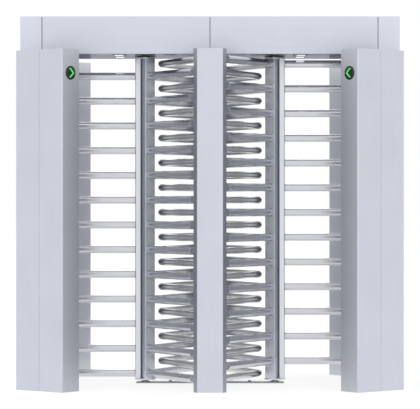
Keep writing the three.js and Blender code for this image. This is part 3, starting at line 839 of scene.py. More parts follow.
@dataclass
class Cabinet(Sided):
    """A side cabinet: outer panel, guide panel and two nose panels of bent sheet round a welded frame."""

    mouth_x: float = 0.791
    nose_x: float = 0.887
    mouth_back: float = 0.120
    shoulder_back: float = 0.250
    guide_straight: float = 0.850
    panel_return: float = 0.018
    wide_bend: float = 0.010
    small_bend: float = 0.003
    guide_bend: float = 0.006
    guide_gap: float = 0.003
    seam: float = 0.001
    sheet_edge: float = 0.0006

    def corners(self, end: End) -> dict[str, Array]:
        """The plan's corner points for one end, on this cabinet's side."""
        lay, y = self.layout, end.value
        nose = np.array([self.nose_x, y * lay.nose_y])
        mouth = np.array([self.mouth_x, y * (lay.nose_y - self.mouth_back)])
        shoulder = np.array([lay.outer_x, y * (lay.nose_y - self.shoulder_back)])
        guide = np.array([lay.guide_x, y * self.guide_straight / 2])
        seam = (nose + shoulder) / 2
        return {"nose": nose, "mouth": mouth, "shoulder": shoulder, "guide": guide, "seam": seam}

    def inward(self, end: End) -> Array:
        """The direction square to the outer oblique face, into the cabinet."""
        points = self.corners(end)
        along = unit(points["shoulder"] - points["nose"])
        square = np.array([along[1], -along[0]])
        return square if square[0] < 0 else -square

    def mirrored(self, line: Sequence[Array]) -> Array:
        """A line on this cabinet's side, run so that the metal lies to its left."""
        points = np.asarray(line, float) * [self.side.value, 1]
        return points if self.side is Side.RIGHT else points[::-1]

    def sheet_piece(self, name: str, line: Sequence[Array], radius: Sequence[float], node: str, slot: str,
                    tones: Sequence[str]) -> None:
        """Makes one full-height bent panel.

        Args:
            name: the piece's name.
            line: corner points of its outer face.
            radius: outer bend radius at each inner corner.
            node: the CAD node it stands for.
            slot: the record's material slot.
            tones: its finish, and a second, greyer one with painted shade for what lies nearer the passage
                than the nose's tip.
        """
        lay = self.layout
        radii = np.asarray(radius, float)
        if self.side is Side.LEFT:
            radii = radii[::-1]
        plan = rounded_line(self.mirrored(line), radii, BEND_STEPS)
        # Faces nearer the passage than the nose's tip take the second tone, the greyer copy of the sheet with
        # painted shade.
        nearer = np.abs(plan[:-1, 0] + plan[1:, 0]) / 2 < self.nose_x
        rows = np.pad(nearer, 1, mode="edge") & (len(tones) > 1)
        skin = Skin().add(bent(plan, lay.sheet, 0.0, lay.clear_height), slot=rows.astype(int))
        self.keep(skin, name, node, slot, tones, edge=self.sheet_edge)

    def outer_panel(self) -> None:
        """The outer wall: turned-in edge, seam, shoulder bend, flat side, and the same at the rear."""
        front, rear = self.corners(End.FRONT), self.corners(End.REAR)
        step = self.seam / 2
        edges = [c["seam"] + unit(c["shoulder"] - c["seam"]) * step for c in (front, rear)]
        turns = [edge + self.inward(end) * self.panel_return for edge, end in zip(edges, End)]
        line = [turns[0], edges[0], front["shoulder"], rear["shoulder"], edges[1], turns[1]]
        radii = [self.small_bend, self.wide_bend, self.wide_bend, self.small_bend]
        self.sheet_piece("outer_panel", line, radii, "outer_wall", "satin_panel", ["panel"])

    def guide_panel(self) -> None:
        """The wall that faces the passage: a flat middle with a wing at each end."""
        front, rear = self.corners(End.FRONT), self.corners(End.REAR)
        ends = [c["mouth"] + unit(c["guide"] - c["mouth"]) * self.guide_gap for c in (rear, front)]
        line = [ends[0], rear["guide"], front["guide"], ends[1]]
        radii = [self.guide_bend] * 2
        # The guide wall takes the lighter copy of the sheet, painted light.
        self.sheet_piece("guide_panel", line, radii, "guide_wall", "grey_panel", ["guide"])

    def nose_panel(self, end: End) -> None:
        """The nose: inner face, a wide bend at the tip, outer face to the seam and its turned-in edge."""
        points = self.corners(end)
        edge = points["seam"] + unit(points["nose"] - points["seam"]) * self.seam / 2
        line = [points["mouth"], points["nose"], edge, edge + self.inward(end) * self.panel_return]
        radii = [self.wide_bend, self.small_bend]
        if end is End.REAR:
            line, radii = line[::-1], radii[::-1]
        self.sheet_piece(f"{end.word}_nose_panel", line, radii, f"{end.word}_nose_cover", "satin_panel",
                         ["panel", "inner"])

    def build(self) -> None:
        """Makes the panels and coats the frame and cap that they hide."""
        self.outer_panel()
        self.guide_panel()
        for end in End:
            self.nose_panel(end)
        self.coat("side_frame", "machined")
        self.coat("top_cap", "panel_deep")


@dataclass
class Signal(Sided):
    """A round direction signal on a nose's inner face: black rim, smoked glass and a lit chevron."""

    end: End = End.FRONT
    height: float = 1.920
    face_middle: tuple[float, float] = (0.839, 0.060)
    face_run: tuple[float, float] = (0.096, 0.120)
    radius: float = 0.042
    depth: float = 0.003
    rim: float = 0.004
    glass_depth: float = 0.0015
    chevron: tuple[float, float] = (-0.015, 0.031)
    chevron_half_height: float = 0.028
    chevron_depth: float = 0.0006
    stroke: float = 0.015
    pane_gap: float = 0.0002
    pane_crown: float = 0.0003
    pane_edge: float = 0.001

    @property
    def word(self) -> str:
        """How the names of its piece and of the CAD node start."""
        return f"{self.side.word}_{self.end.word}_"

    def placed(self, points: Array) -> Array:
        """Local points (towards the passage, up, out of the face) put in the gate's frame."""
        s, e = self.side.value, self.end.value
        run_x, run_y = self.face_run
        outward = unit(np.array([-s * run_y, e * run_x, 0.0]))
        inwards = unit(np.array([-s * run_x, -e * run_y, 0.0]))
        across, back = self.face_middle
        middle = np.array([s * across, e * (self.layout.nose_y - back), self.height]) + outward * GAP
        return middle + np.asarray(points) @ np.stack([inwards, [0.0, 0.0, 1.0], outward])

    def build(self) -> None:
        """Makes the rim, the glass and the chevron as one piece with three finishes."""
        outer, inner, depth = self.radius, self.radius - self.rim, self.depth
        seat = depth - self.glass_depth
        rim = rounded_line([
            (0, 0), (outer, 0), (outer, depth), (inner, depth), (inner, seat), (0, seat),
        ], [EASED, ROUNDED, ROUNDED, self.pane_gap], CORNER_STEPS)
        pane, edge = depth - self.glass_depth / 2, inner - self.pane_gap
        back = seat + self.pane_gap / 2
        glass = [(0, back), (edge, back), (edge, pane), (inner - self.pane_edge, pane + self.pane_gap),
                 (0, pane + self.pane_crown)]
        (tail, apex), half, wide = self.chevron, self.chevron_half_height, self.stroke
        upper = np.array([(tail, half), (apex - wide, 0), (apex, 0), (tail + wide, half)])
        skin = Skin().add(turned(rim), capped=False).add(turned(glass), capped=False, slot=1)
        for outline in (upper, (upper * [1, -1])[::-1]):
            skin.add(stacked(outline, pane, pane + self.chevron_depth), slot=2)
        skin.moved(self.placed)
        self.keep(skin, "signal", "indicator", "dark_plastic", ["rim", "glass", "signal"])


@dataclass
class Column(Assembly):
    """A centre column: one sheet bent round into a closed casing with facets beside its face."""

    end: End = End.FRONT
    face_half: float = 0.077
    facet: float = 0.035
    bend: float = 0.004
    cap: float = 0.004
    cap_set: float = 0.0004
    cap_reach_share: float = 0.9
    sheet_edge: float = 0.0006

    @property
    def word(self) -> str:
        """How the names of its piece and of the CAD node start."""
        return f"{self.end.word}_"

    def build(self) -> None:
        """Makes the casing and its top plate."""
        lay, e = self.layout, self.end.value
        half = lay.column_half
        corners = np.array([
            (-half, lay.column_back), (-half, lay.nose_y - self.facet), (-self.face_half, lay.nose_y),
            (self.face_half, lay.nose_y), (half, lay.nose_y - self.facet), (half, lay.column_back),
        ]) * [1, e]
        ordered = corners if e < 0 else corners[::-1]
        plan = rounded_outline(ordered, self.bend)
        # The facets beside the face take the darker flank copy of the sheet, painted shade.
        across = np.abs(plan[:, 0] + np.roll(plan[:, 0], -1)) / 2
        skin = Skin().add(bent(plan, lay.sheet, 0.0, lay.clear_height, closed=True), closed=True,
                          slot=(across > self.face_half).astype(int))
        inside = plan + sideways(plan, True) * lay.sheet * self.cap_reach_share
        skin.add(stacked(inside, lay.clear_height - self.cap, lay.clear_height - self.cap_set))
        self.keep(skin, "column_casing", "column", "satin_panel", ["panel", "flank"], edge=self.sheet_edge)


@dataclass
class Comb(Sided):
    """A fixed comb: thirteen tubes bent to a V and welded to a strip behind each column."""

    tube_radius: float = 0.0212
    clearance: float = 0.0185
    bend_radius: float = 0.057
    bend_steps: int = 15
    strip_offset: float = 0.052
    strip_half: float = 0.030
    strip_thickness: float = 0.008
    strip_reach: float = 0.022
    strip_edge: float = 0.001
    bead: float = 0.0035
    bead_set: float = 0.0015
    bead_sink: float = 0.0005

    def path(self, height: float) -> Array:
        """One tube's centre line, at one height: two legs from the strips, touching a circle round the far
        rotor, and a bend round the apex where they meet."""
        lay = self.layout
        reach = lay.sweep_radius + self.clearance + self.tube_radius
        end_y = lay.column_back - self.strip_thickness / 2
        across = lay.axis_offset + self.strip_offset
        angle = math.pi - math.atan2(end_y, across) - math.asin(reach / math.hypot(across, end_y))
        apex = reach / math.sin(angle) - lay.axis_offset
        corners = np.array([(self.strip_offset, -end_y), (apex, 0.0), (self.strip_offset, end_y)])
        return lifted(rounded_line(corners * [self.side.value, 1], self.bend_radius, self.bend_steps), height)

    def bead_rings(self, path: Array, last: bool) -> Array:
        """A weld bead where a leg meets its strip: a small half-round ring carried on the leg's end."""
        ends = path[[-1, -2]] if last else path[[0, 1]]
        along = unit(ends[1] - ends[0])
        reach = (self.strip_thickness / 2) / abs(along[1])
        stations = reach + np.linspace(-self.bead_set, self.bead, CORNER_STEPS)
        swell = self.bead * np.sqrt(1 - np.linspace(-1, 1, CORNER_STEPS) ** 2)
        side = np.array([-along[1], along[0], 0.0])
        ring = circle(1.0, RING_STEPS)
        spread = ring[:, :1] * side + ring[:, 1:] * np.array([0.0, 0.0, 1.0])
        lean = -ring[:, :1] * along * self.tube_radius * along[0] / along[1]
        radii = self.tube_radius - self.bead_sink + swell
        return ends[0] + stations[:, None, None] * along + radii[:, None, None] * spread + lean

    def build(self) -> None:
        """Makes the tubes, the strips and the beads as one welded piece."""
        lay = self.layout
        levels = lay.levels + (lay.arm_pitch / 2 if self.side is Side.LEFT else 0.0)
        paths = [self.path(level) for level in levels]
        skin = Skin().add_each([carried(path, circle(self.tube_radius)) for path in paths])
        middle = self.side.value * self.strip_offset
        for end in End:
            y = sorted((end.value * lay.column_back, end.value * (lay.column_back - self.strip_thickness)))
            half, edge = self.strip_half, self.strip_edge
            outline = box_outline((middle - half, y[0]), (middle + half, y[1]), edge)
            low, high = levels[0] - self.strip_reach, levels[-1] + self.strip_reach
            skin.add(stacked(outline, low, high, edge / 2), slot=1)
        beads = [self.bead_rings(path, last) for path in paths for last in (False, True)]
        skin.add_each(beads, slot=2)
        self.keep(skin, "comb_tubes", "comb", "polished_tube", ["comb", "core", "weld"])


@dataclass
class Rotor(Sided):
    """One rotor: a core between two hub plates, and three wings of thirteen arms."""

    wings: int = 3
    tip_round: float = 0.0012
    root_depth: float = 0.006
    profile_round: float = 0.0045
    bead: float = 0.0035
    bead_sink: float = 0.0008
    bead_run: float = 1 / 3
    spindle_radius: float = 0.014
    shaft_radius: float = 0.0225
    shaft_top: float = 2.200
    bolt_across: float = 0.013
    bolt_height: float = 0.0075
    bolt_circle: float = 0.0475

    def wing_angle(self, number: int) -> float:
        """The direction of a wing at rest; the first points at its guide wall."""
        outward = math.pi if self.side is Side.LEFT else 0.0
        return outward + 2 * math.pi * number / self.wings

    def wing(self, number: int) -> None:
        """Makes one wing: a box profile with rounded corners, thirteen round-ended arms and their beads."""
        lay = self.layout
        outer = lay.profile_inner + lay.profile_depth
        raised = 0.0 if self.side is Side.LEFT else lay.arm_pitch / 2
        outline = box_outline(
            (lay.profile_inner, -lay.profile_half), (outer, lay.profile_half), self.profile_round,
            QUARTER_STEPS)
        skin = Skin().add(stacked(outline, lay.profile_bottom, lay.profile_top, EASED), slot=2)
        root = outer - self.root_depth
        arm_line = rounded_line([
            (0, root), (lay.arm_radius, root), (lay.arm_radius, lay.sweep_radius), (0, lay.sweep_radius),
        ], [EASED, self.tip_round])
        arm = facing(turned(arm_line, TUBE_STEPS), Axis.X)
        swell = np.linspace(0, math.pi, CORNER_STEPS)
        bead_line = np.stack([lay.arm_radius - self.bead_sink + self.bead * np.sin(swell) * np.cos(swell / 2),
                              outer - self.bead_sink + self.bead * self.bead_run * swell], axis=-1)
        bead = facing(turned(bead_line, RING_STEPS), Axis.X)
        rows = np.zeros(len(arm_line) - 1, int)
        # The fourth finish is the lighter core copy, painted light on the arms' end discs.
        rows[-1] = 3  # the disc that closes the tip has the fourth finish
        for level in lay.levels + raised:
            skin.add(arm + [0, 0, level], capped=False, slot=rows)
            skin.add(bead + [0, 0, level], slot=1)
        skin.moved(lambda points: swung(points, self.wing_angle(number), self.centre))
        node = f"wing_{number + 1}"
        self.keep(skin, f"{node}_tubes", node, "polished_tube", ["tube", "weld", "profile", "core"], "rotor")

    def spine(self) -> None:
        """Makes the core with its hub plates, floor spindle and upper shaft, and the hub bolts."""
        lay = self.layout
        foot = lay.tie_thickness + GAP
        low, high = lay.profile_bottom, lay.profile_top
        plate = lay.hub_thickness
        profile = rounded_line([
            (0, foot), (self.spindle_radius, foot), (self.spindle_radius, low - plate),
            (lay.hub_radius, low - plate), (lay.hub_radius, low), (lay.core_radius, low),
            (lay.core_radius, high), (lay.hub_radius, high), (lay.hub_radius, high + plate),
            (self.shaft_radius, high + plate), (self.shaft_radius, self.shaft_top), (0, self.shaft_top),
        ], ROUNDED, ROUND_EDGE_STEPS)
        skin = Skin().add(turned(profile), capped=False)
        for number in range(self.wings):
            angle = self.wing_angle(number) + math.pi / self.wings
            spot = self.bolt_circle * math.cos(angle), self.bolt_circle * math.sin(angle)
            skin.add(hex_head((*spot, low), self.bolt_across, self.bolt_height), slot=1)
            skin.add(hex_head((*spot, high), self.bolt_across, self.bolt_height, sign=-1), slot=1)
        skin.shifted(self.centre)
        self.keep(skin, "rotor_spine", "rotor_core", "polished_tube", ["core", "bolt"], "rotor")

    def build(self) -> None:
        """Makes the spine and the three wings."""
        self.spine()
        for number in range(self.wings):
            self.wing(number)


@dataclass
class Floor(Assembly):
    """The floor tie plate with its anchor bolts, and the bare CAD nodes that both sides share."""

    half_length: float = 0.466
    half_depth: float = 0.050
    corner: float = 0.006
    edge: float = 0.0008
    anchor_places: tuple[float, ...] = (-0.250, -0.080, 0.080, 0.250)
    anchor_size: tuple[float, float] = (0.017, 0.009)

    def build(self) -> None:
        """Makes the tie plate and its anchor bolts, and coats the header's pan and beams and the tie."""
        top = self.layout.tie_thickness
        skin = Skin().add(stacked(
            centred_box(self.half_length, self.half_depth, self.corner), 0.0, top, self.edge))
        for x in self.anchor_places:
            skin.add(hex_head((x, 0, top), *self.anchor_size), slot=1)
        self.keep(skin, "floor_tie_plate", "floor_tie", "plain_steel", ["machined", "bolt"])
        # The pan takes the greyer underside copy of the sheet, painted shade.
        self.coat("header_pan", "underside")
        self.coat("front_header_beam", "machined")
        self.coat("rear_header_beam", "machined")
        self.coat("overhead_tie", "zinc")


@dataclass
class FloorBearing(Sided):
    """A sealed bearing under a rotor: a flange, a collar and a rubber lip round the spindle."""

    flange_radius: float = 0.030
    flange_thickness: float = 0.004
    collar_radius: float = 0.021
    collar_height: float = 0.007
    bore: float = 0.0143
    lip: float = 0.003
    screw_circle: float = 0.0255
    screw_count: int = 3
    screw_phase: float = 0.25
    screw_size: tuple[float, float] = (0.0034, 0.0018)

    def build(self) -> None:
        """Makes the bearing and its screws."""
        base = self.layout.tie_thickness
        top = base + self.collar_height
        seat, step = self.bore + self.lip, base + self.flange_thickness
        ring = rounded_outline([
            (seat, base), (self.flange_radius, base), (self.flange_radius, step), (self.collar_radius, step),
            (self.collar_radius, top), (seat, top),
        ], [EASED, EASED, ROUNDED, ROUNDED, ROUNDED, EASED], ROUND_EDGE_STEPS)
        lip = rounded_outline([
            (self.bore, base), (seat, base), (seat, top - EASED), (self.bore, top - 2 * EASED),
        ], EASED / 2, EDGE_STEPS)
        skin = Skin().add(turned(ring), closed=True).add(turned(lip), closed=True, slot=1)
        for x, y in circle(self.screw_circle, self.screw_count, self.screw_phase):
            skin.add(button_head((x, y, step), *self.screw_size, Axis.Z), capped=False, slot=2)
        skin.shifted(self.centre)
        self.keep(skin, "floor_bearing_unit", "floor_bearing", "zinc_plate", ["zinc", "seal", "bolt"])


@dataclass
class Header(Sided):
    """One side's covers of the header: hood, hinged lid and end cover, round the pan and beams."""

    pan_edge: float = 0.015
    bend: float = 0.004
    sheet_edge: float = 0.0005
    knuckle: float = 0.005
    hinge_inset: float = 0.020
    rod_radius: float = 0.0025
    lug_length: float = 0.024
    lug_count: int = 3
    leaf_clearance: float = 0.0008
    leaf_low: float = 0.0048
    leaf_high: float = 0.0022
    screw_count: int = 4
    screw_inset: float = 0.060
    screw_height: float = 0.022
    screw_size: tuple[float, float] = (0.006, 0.003)
    end_flange: float = 0.012
    end_corner: float = 0.006
    plate_overlap: float = 0.0002
    plate_set: float = 0.00005
    strip_half: float = 0.009
    strip_thickness: float = 0.001

    @property
    def hinge_y(self) -> float:
        """Y of the hinge line."""
        return -(self.layout.header_half - self.hinge_inset)

    @property
    def hinge_z(self) -> float:
        """Height of the hinge line."""
        return self.layout.top - self.knuckle

    @property
    def span(self) -> tuple[float, float]:
        """X range of the long covers."""
        inner, outer = self.layout.seam / 2, self.layout.end_seam - self.layout.seam / 2
        return (-outer, -inner) if self.side is Side.LEFT else (inner, outer)

    @property
    def lugs(self) -> Array:
        """X ranges of the hood's hinge lugs, (lug_count, 2)."""
        start, end = self.span
        middles = start + (end - start) * (np.arange(self.lug_count) + 0.5) / self.lug_count
        return middles[:, None] + np.array([-0.5, 0.5]) * self.lug_length

    def barrel(self, start: float, end: float) -> Array:
        """A hinge knuckle along X: a ring section turned about the hinge line."""
        bore = self.rod_radius + GAP
        ring = box_outline((bore, start), (self.knuckle, end), EASED, EDGE_STEPS)
        return facing(turned(ring, RING_STEPS), Axis.X, (0, self.hinge_y, self.hinge_z))

    def long_cover(self, line: Sequence[tuple[float, float]]) -> tuple[Array, Skin]:
        """A bent sheet as long as the header's half: its outer face's (Y, Z) line, and its skin."""
        rounded = rounded_line(line, self.bend)
        return rounded, Skin().add(facing(bent(rounded, self.layout.sheet, *self.span), Axis.X))

    def hood(self) -> None:
        """Makes the top and rear cover, its hinge lugs, rear screws and, on the left, a black strip behind
        the centre seam: painted shade that stands in for the dark inside of the header.
        """
        lay = self.layout
        start, end = self.span
        front = self.hinge_y + self.knuckle + GAP
        line, skin = self.long_cover([
            (lay.header_half - self.pan_edge + GAP, lay.clear_height), (lay.header_half, lay.clear_height),
            (lay.header_half, lay.top), (front, lay.top),
        ])
        for low, high in self.lugs:
            skin.add(self.barrel(low, high), closed=True, slot=1)
            leaf_start = self.hinge_y + self.rod_radius + self.leaf_clearance
            leaf = box_outline(
                (leaf_start, lay.top - self.leaf_low), (front + lay.sheet, lay.top - self.leaf_high),
                EASED, EDGE_STEPS)
            skin.add(facing(stacked(leaf, low, high), Axis.X), slot=1)
        for x in np.linspace(start + self.screw_inset, end - self.screw_inset, self.screw_count):
            spot = x, lay.header_half, lay.clear_height + self.screw_height
            skin.add(button_head(spot, *self.screw_size, Axis.Y), capped=False, slot=2)
        # A black strip behind the centre seam stands in for the shade inside the header: painted shade.
        if self.side is Side.LEFT:
            inside = line + sideways(line, False) * (lay.sheet + GAP)
            strip = bent(inside, self.strip_thickness, -self.strip_half, self.strip_half)
            skin.add(facing(strip, Axis.X), slot=3)
        self.keep(skin, "hood_cover", "header_hood", "satin_panel", ["panel_long", "zinc", "bolt", "seal"],
                  edge=self.sheet_edge)

    def lid(self) -> None:
        """Makes the hinged front cover with its knuckles between the lugs."""
        lay = self.layout
        start, end = self.span
        front, low = -lay.header_half, lay.clear_height
        skin = self.long_cover([
            (self.hinge_y - self.knuckle / 2, lay.top), (front, lay.top), (front, low),
            (front + self.pan_edge - GAP, low),
        ])[1]
        slots = self.lugs + np.array([-1, 1]) * GAP
        bounds = np.concatenate([[start], slots.ravel(), [end]]).reshape(-1, 2)
        for left, right in bounds:
            skin.add(self.barrel(left, right), closed=True, slot=1)
        self.keep(skin, "lid_cover", "header_lid", "satin_panel", ["panel_long", "zinc"], "lid",
                  edge=self.sheet_edge)

    def rod(self) -> None:
        """Makes the hinge rod, rounded at its ends."""
        start, end = self.span
        radius = self.rod_radius
        line = rounded_line([(0, start), (radius, start), (radius, end), (0, end)], ROUNDED, ROUND_EDGE_STEPS)
        rings = facing(turned(line, SCREW_STEPS), Axis.X, (0, self.hinge_y, self.hinge_z))
        self.keep(Skin().add(rings, capped=False), "lid_rod", "hinge_rod", "zinc_plate", ["zinc"])

    def end_cover(self) -> None:
        """Makes the end cover: an angle section carried round three sides, and a top plate."""
        lay, s = self.layout, self.side.value
        half, top, low = lay.header_half, lay.top, lay.clear_height
        inner = lay.end_seam + lay.seam / 2
        flange, bend = self.end_flange, self.bend
        corners = [(inner, -half), (lay.outer_x, -half), (lay.outer_x, half), (inner, half)]
        plan = rounded_line(corners, self.end_corner)
        turn = quarter(QUARTER_STEPS)
        outer, under = (
            np.stack([bend - radius * np.cos(turn), top - bend + radius * np.sin(turn)], axis=-1)
            for radius in (bend, bend - lay.sheet))
        section = np.concatenate([
            [[0, low]], outer, [[flange, top], [flange, top - lay.sheet]], under[::-1], [[lay.sheet, low]]])
        shift = sideways(plan, False)
        depth = section[None, :, :1]
        limit = np.concatenate([lay.outer_x - depth, half - depth], axis=-1)
        rings = lifted(np.clip(plan[:, None] + shift[:, None] * depth, -limit, limit), section[None, :, 1:])
        order = np.arange(len(section))
        across = np.minimum(order, order[::-1])  # closes an end by joining its inner line to its outer one
        rings = np.concatenate([rings[:1, across], rings, rings[-1:, across]])
        skin = Skin().add(rings * [s, 1, 1], capped=False)
        reach = flange - self.plate_overlap
        x = sorted((s * inner, s * (lay.outer_x - reach)))
        outline = box_outline((x[0], reach - half), (x[1], half - reach), EASED, PLATE_STEPS)
        skin.add(stacked(outline, top - lay.sheet + self.plate_set, top - self.plate_set))
        self.keep(skin, "end_cover", "header_end", "satin_panel", ["panel_long"])

    def build(self) -> None:
        """Makes the covers and the rod."""
        self.hood()
        self.lid()
        self.rod()
        self.end_cover()


@dataclass
class Lamp(Sided):
    """A lamp under the header: a flat frame, and two frosted bars, each in a dark seal that is partly painted
    shade, standing in for the thin shade line round the bar.
    """

    offset: float = 0.569
    forward: float = 0.105
    half_width: float = 0.042
    half_length: float = 0.140
    border: float = 0.012
    bridge: float = 0.105
    depth: float = 0.005
    proud: float = 0.001
    seal: float = 0.003
    set_down: float = 0.0002
    corner: float = 0.0125
    window_corner: float = 0.0035
    bridge_overlap: float = 0.001
    lens_edge: float = 0.0008

    def build(self) -> None:
        """Makes the frame, carried round its rim, its two seals and the two lens bars."""
        low, high = self.layout.clear_height - self.depth, self.layout.clear_height - self.set_down
        rim = centred_box(self.half_width, self.half_length, self.corner)
        inner, reach = self.half_width - self.border, self.half_length - self.border
        middle = centred_box(inner + self.bridge_overlap, self.bridge / 2, EASED, PLATE_STEPS)
        holder = Skin().add(bent(rim, self.border, low, high, closed=True), closed=True)
        holder.add(stacked(middle, low, high))
        lens, inset = Skin(), self.seal + GAP
        for start, end in ((-reach, -self.bridge / 2), (self.bridge / 2, reach)):
            window = box_outline((-inner, start), (inner, end), self.window_corner)
            holder.add(bent(window, self.seal, low - self.proud / 2, high, closed=True), closed=True, slot=1)
            bar = box_outline((inset - inner, start + inset), (inner - inset, end - inset),
                              self.window_corner)
            lens.add(stacked(bar, low - self.proud, high, self.lens_edge))
        for skin in (holder, lens):
            skin.shifted((self.side.value * self.offset, -self.forward))
        # The frame takes the greyer underside copy with painted shade; the dark seals are partly painted
        # shade for the thin shade lines round the bars.
        self.keep(holder, "lamp_bezel", "lamp_frame", "dark_plastic", ["underside", "seal"])
        self.keep(lens, "lamp_bars", "lamp_lens", "lamp_lens", ["lamp"])


@dataclass
class Lock(Sided):
    """The locking mechanism over one rotor: bearing, notched wheel, rocking pawl and solenoid."""

    plate_top: float = 2.138
    bearing_radius: float = 0.055
    bearing_height: float = 0.024
    race_width: float = 0.005
    seal_width: float = 0.007
    seal_set: float = 0.0015
    wall_width: float = 0.008
    flange_rise: float = 0.009
    cone_rise: float = 0.003
    flange_fillet: float = 0.002
    wall_fillet: float = 0.004
    bolt_circle: float = 0.0485
    bolt_count: int = 4
    bolt_size: tuple[float, float] = (0.010, 0.006)
    shaft_radius: float = 0.0225
    wheel_radius: float = 0.090
    wheel_bottom: float = 2.170
    wheel_top: float = 2.182
    wheel_edge: float = 0.0006
    collar_radius: float = 0.038
    notches: int = 12
    notch_depth: float = 0.015
    notch_half: float = 0.012
    web: float = 0.003
    web_lead: float = 0.012
    pawl_reach: float = 0.080
    pawl_y: float = 0.118
    pawl_tail: float = 0.045
    tooth_lead: float = 0.0025
    tooth_half: float = 0.006
    tooth_tip: float = -0.025
    bar_half: float = 0.008
    bar_start: float = 0.0112
    bar_corner: float = 0.002
    bar_edge: float = 0.0008
    bar_set: float = 0.0004
    boss_radius: float = 0.015
    boss_steps: int = 40
    stud_radius: float = 0.007
    coil_half: float = 0.025
    coil_length: float = 0.075
    coil_height: float = 0.064
    coil_front: float = 0.0947
    bracket: float = 0.003
    bracket_edge: float = 0.0004
    winding_radius: float = 0.0215
    cheek_radius: float = 0.0243
    cheek: float = 0.004
    plunger_radius: float = 0.007
    plunger_steps: int = 32
    plunger_waist: float = 0.005
    groove_start: float = 0.008
    groove_end: float = 0.005
    plunger_tip: float = 0.1097
    plunger_inside: float = 0.042

    @property
    def plunger_z(self) -> float:
        """Height of the plunger's axis: the middle of the wheel."""
        return (self.wheel_bottom + self.wheel_top) / 2

    @property
    def plunger_x(self) -> float:
        """X of the plunger's axis."""
        return self.side.value * (self.layout.axis_offset + self.pawl_reach + self.pawl_tail)

    def bearing(self) -> None:
        """Makes the flange bearing: a machined ring, a dark seal and four bolts."""
        bore = self.shaft_radius + GAP
        low, top = self.plate_top, self.plate_top + self.bearing_height
        step, lip = low + self.flange_rise, top - self.seal_set
        inner = bore + self.race_width
        seat = inner + self.seal_width
        wall = seat + self.wall_width
        rim = self.bearing_radius
        housing = rounded_outline([
            (seat, low), (rim, low), (rim, step), (wall, step + self.cone_rise), (wall, top), (seat, top),
        ], [EASED, ROUNDED, self.flange_fillet, self.wall_fillet, ROUNDED, ROUNDED], CORNER_STEPS)
        race = box_outline((bore, low), (inner, top), EASED, EDGE_STEPS)
        seal = box_outline((inner, low), (seat, lip), EASED, EDGE_STEPS)
        skin = Skin().add(turned(housing), closed=True).add(turned(race), closed=True)
        skin.add(turned(seal), closed=True, slot=1)
        for x, y in circle(self.bolt_circle, self.bolt_count):
            skin.add(hex_head((x, y, step), *self.bolt_size), slot=2)
        skin.shifted(self.centre)
        self.keep(skin, "flange_bearing", "top_bearing", "plain_steel", ["machined", "seal", "bolt"])

    def wheel(self) -> None:
        """Makes the notched wheel: each twelfth is an arc and a straight-sided notch, closed round a bore.

        The teeth narrow towards the middle, so a ring just under the notches spreads their rows of points
        evenly before these run on to the bore.
        """
        bore = self.shaft_radius + GAP
        pitch = 2 * math.pi / self.notches
        root = self.wheel_radius - self.notch_depth
        mouth = math.asin(self.notch_half / self.wheel_radius)
        arc = np.linspace(mouth, pitch - mouth, BEND_STEPS)
        tooth = self.wheel_radius * np.stack([np.cos(arc), np.sin(arc)], axis=-1)
        floor = np.array([[root, -self.notch_half], [root, 0.0], [root, self.notch_half]])
        twelfth = np.concatenate([floor, tooth])
        under = floor - np.array([self.web, 0.0])
        lead = math.atan2(self.notch_half, root - self.web) + self.web_lead
        spread = np.linspace(lead, pitch - lead, len(arc))
        between = (root - self.web) * np.stack([np.cos(spread), np.sin(spread)], axis=-1)
        inner = np.concatenate([under, between])
        turn = np.arange(self.notches)[:, None] * pitch
        cos, sin = np.cos(turn), np.sin(turn)
        outline, web = (
            np.stack([x * cos - y * sin, x * sin + y * cos], axis=-1).reshape(-1, 2)
            for x, y in (twelfth.T, inner.T))
        hole, collar = unit(web) * bore, unit(web) * self.collar_radius
        low, edge = self.plate_top + self.bearing_height + GAP, self.wheel_edge
        bottom, top = self.wheel_bottom, self.wheel_top
        eased = outline + sideways(outline, True) * edge
        rings = np.stack([lifted(plan, height) for plan, height in (
            (hole, low), (collar, low), (collar, bottom), (web, bottom), (eased, bottom),
            (outline, bottom + edge), (outline, top - edge), (eased, top), (web, top), (hole, top),
        )])
        skin = Skin().add(rings, closed=True).shifted(self.centre)
        self.keep(skin, "notched_wheel", "locking_wheel", "plain_steel", ["machined"], "rotor")

    def bar(self, steps: Sequence[tuple[float, float]], end: float) -> Array:
        """A flat bar along X: a rounded rectangle for each step, then a quarter round that closes its end.

        Args:
            steps: the X and the lower edge's Y of each section.
            end: X of the end.

        Returns:
            An array of (sections, points round each, 3) points.
        """
        turn = quarter(CORNER_STEPS)
        close = end - self.bar_corner * (1 - np.sin(turn))
        drawn_in = self.bar_corner * (1 - np.cos(turn))
        sections = [(x, below, 0.0) for x, below in steps]
        sections += [(x, steps[-1][1], inset) for x, inset in zip(close, drawn_in)]
        low, top, rings = self.wheel_bottom + self.bar_set, self.wheel_top - self.bar_set, []
        for x, below, inset in sections:
            section = box_outline(
                (below + inset, low + inset), (self.bar_half - inset, top - inset), self.bar_edge,
                EDGE_STEPS)
            rings.append(np.insert(section, 0, x, axis=1))
        return np.stack(rings)

    def pawl(self) -> None:
        """Makes the pawl: a bar with a tooth on one arm and a plain tail on the other, and a bored boss."""
        s, half, start = self.side.value, self.bar_half, self.bar_start
        reach = self.pawl_reach + self.tooth_lead
        neck = reach - self.tooth_half
        steps = [(start, -half), (neck, -half), (neck + GAP, self.tooth_tip)]
        toothed = self.bar(steps, reach + self.tooth_half)
        tail = self.bar([(start, -half)], self.pawl_tail + half)
        bore = self.stud_radius + GAP
        boss = box_outline((bore, self.wheel_bottom), (self.boss_radius, self.wheel_top), ROUNDED,
                           ROUND_EDGE_STEPS)
        skin = Skin().add(toothed * [-s, 1, 1]).add(tail * [s, 1, 1])
        skin.add(turned(boss, self.boss_steps), closed=True)
        pivot = s * (self.layout.axis_offset + self.pawl_reach), self.pawl_y
        self.keep(skin.shifted(pivot), "pawl_lever", "lock_pawl", "plain_steel", ["zinc"], "pawl")

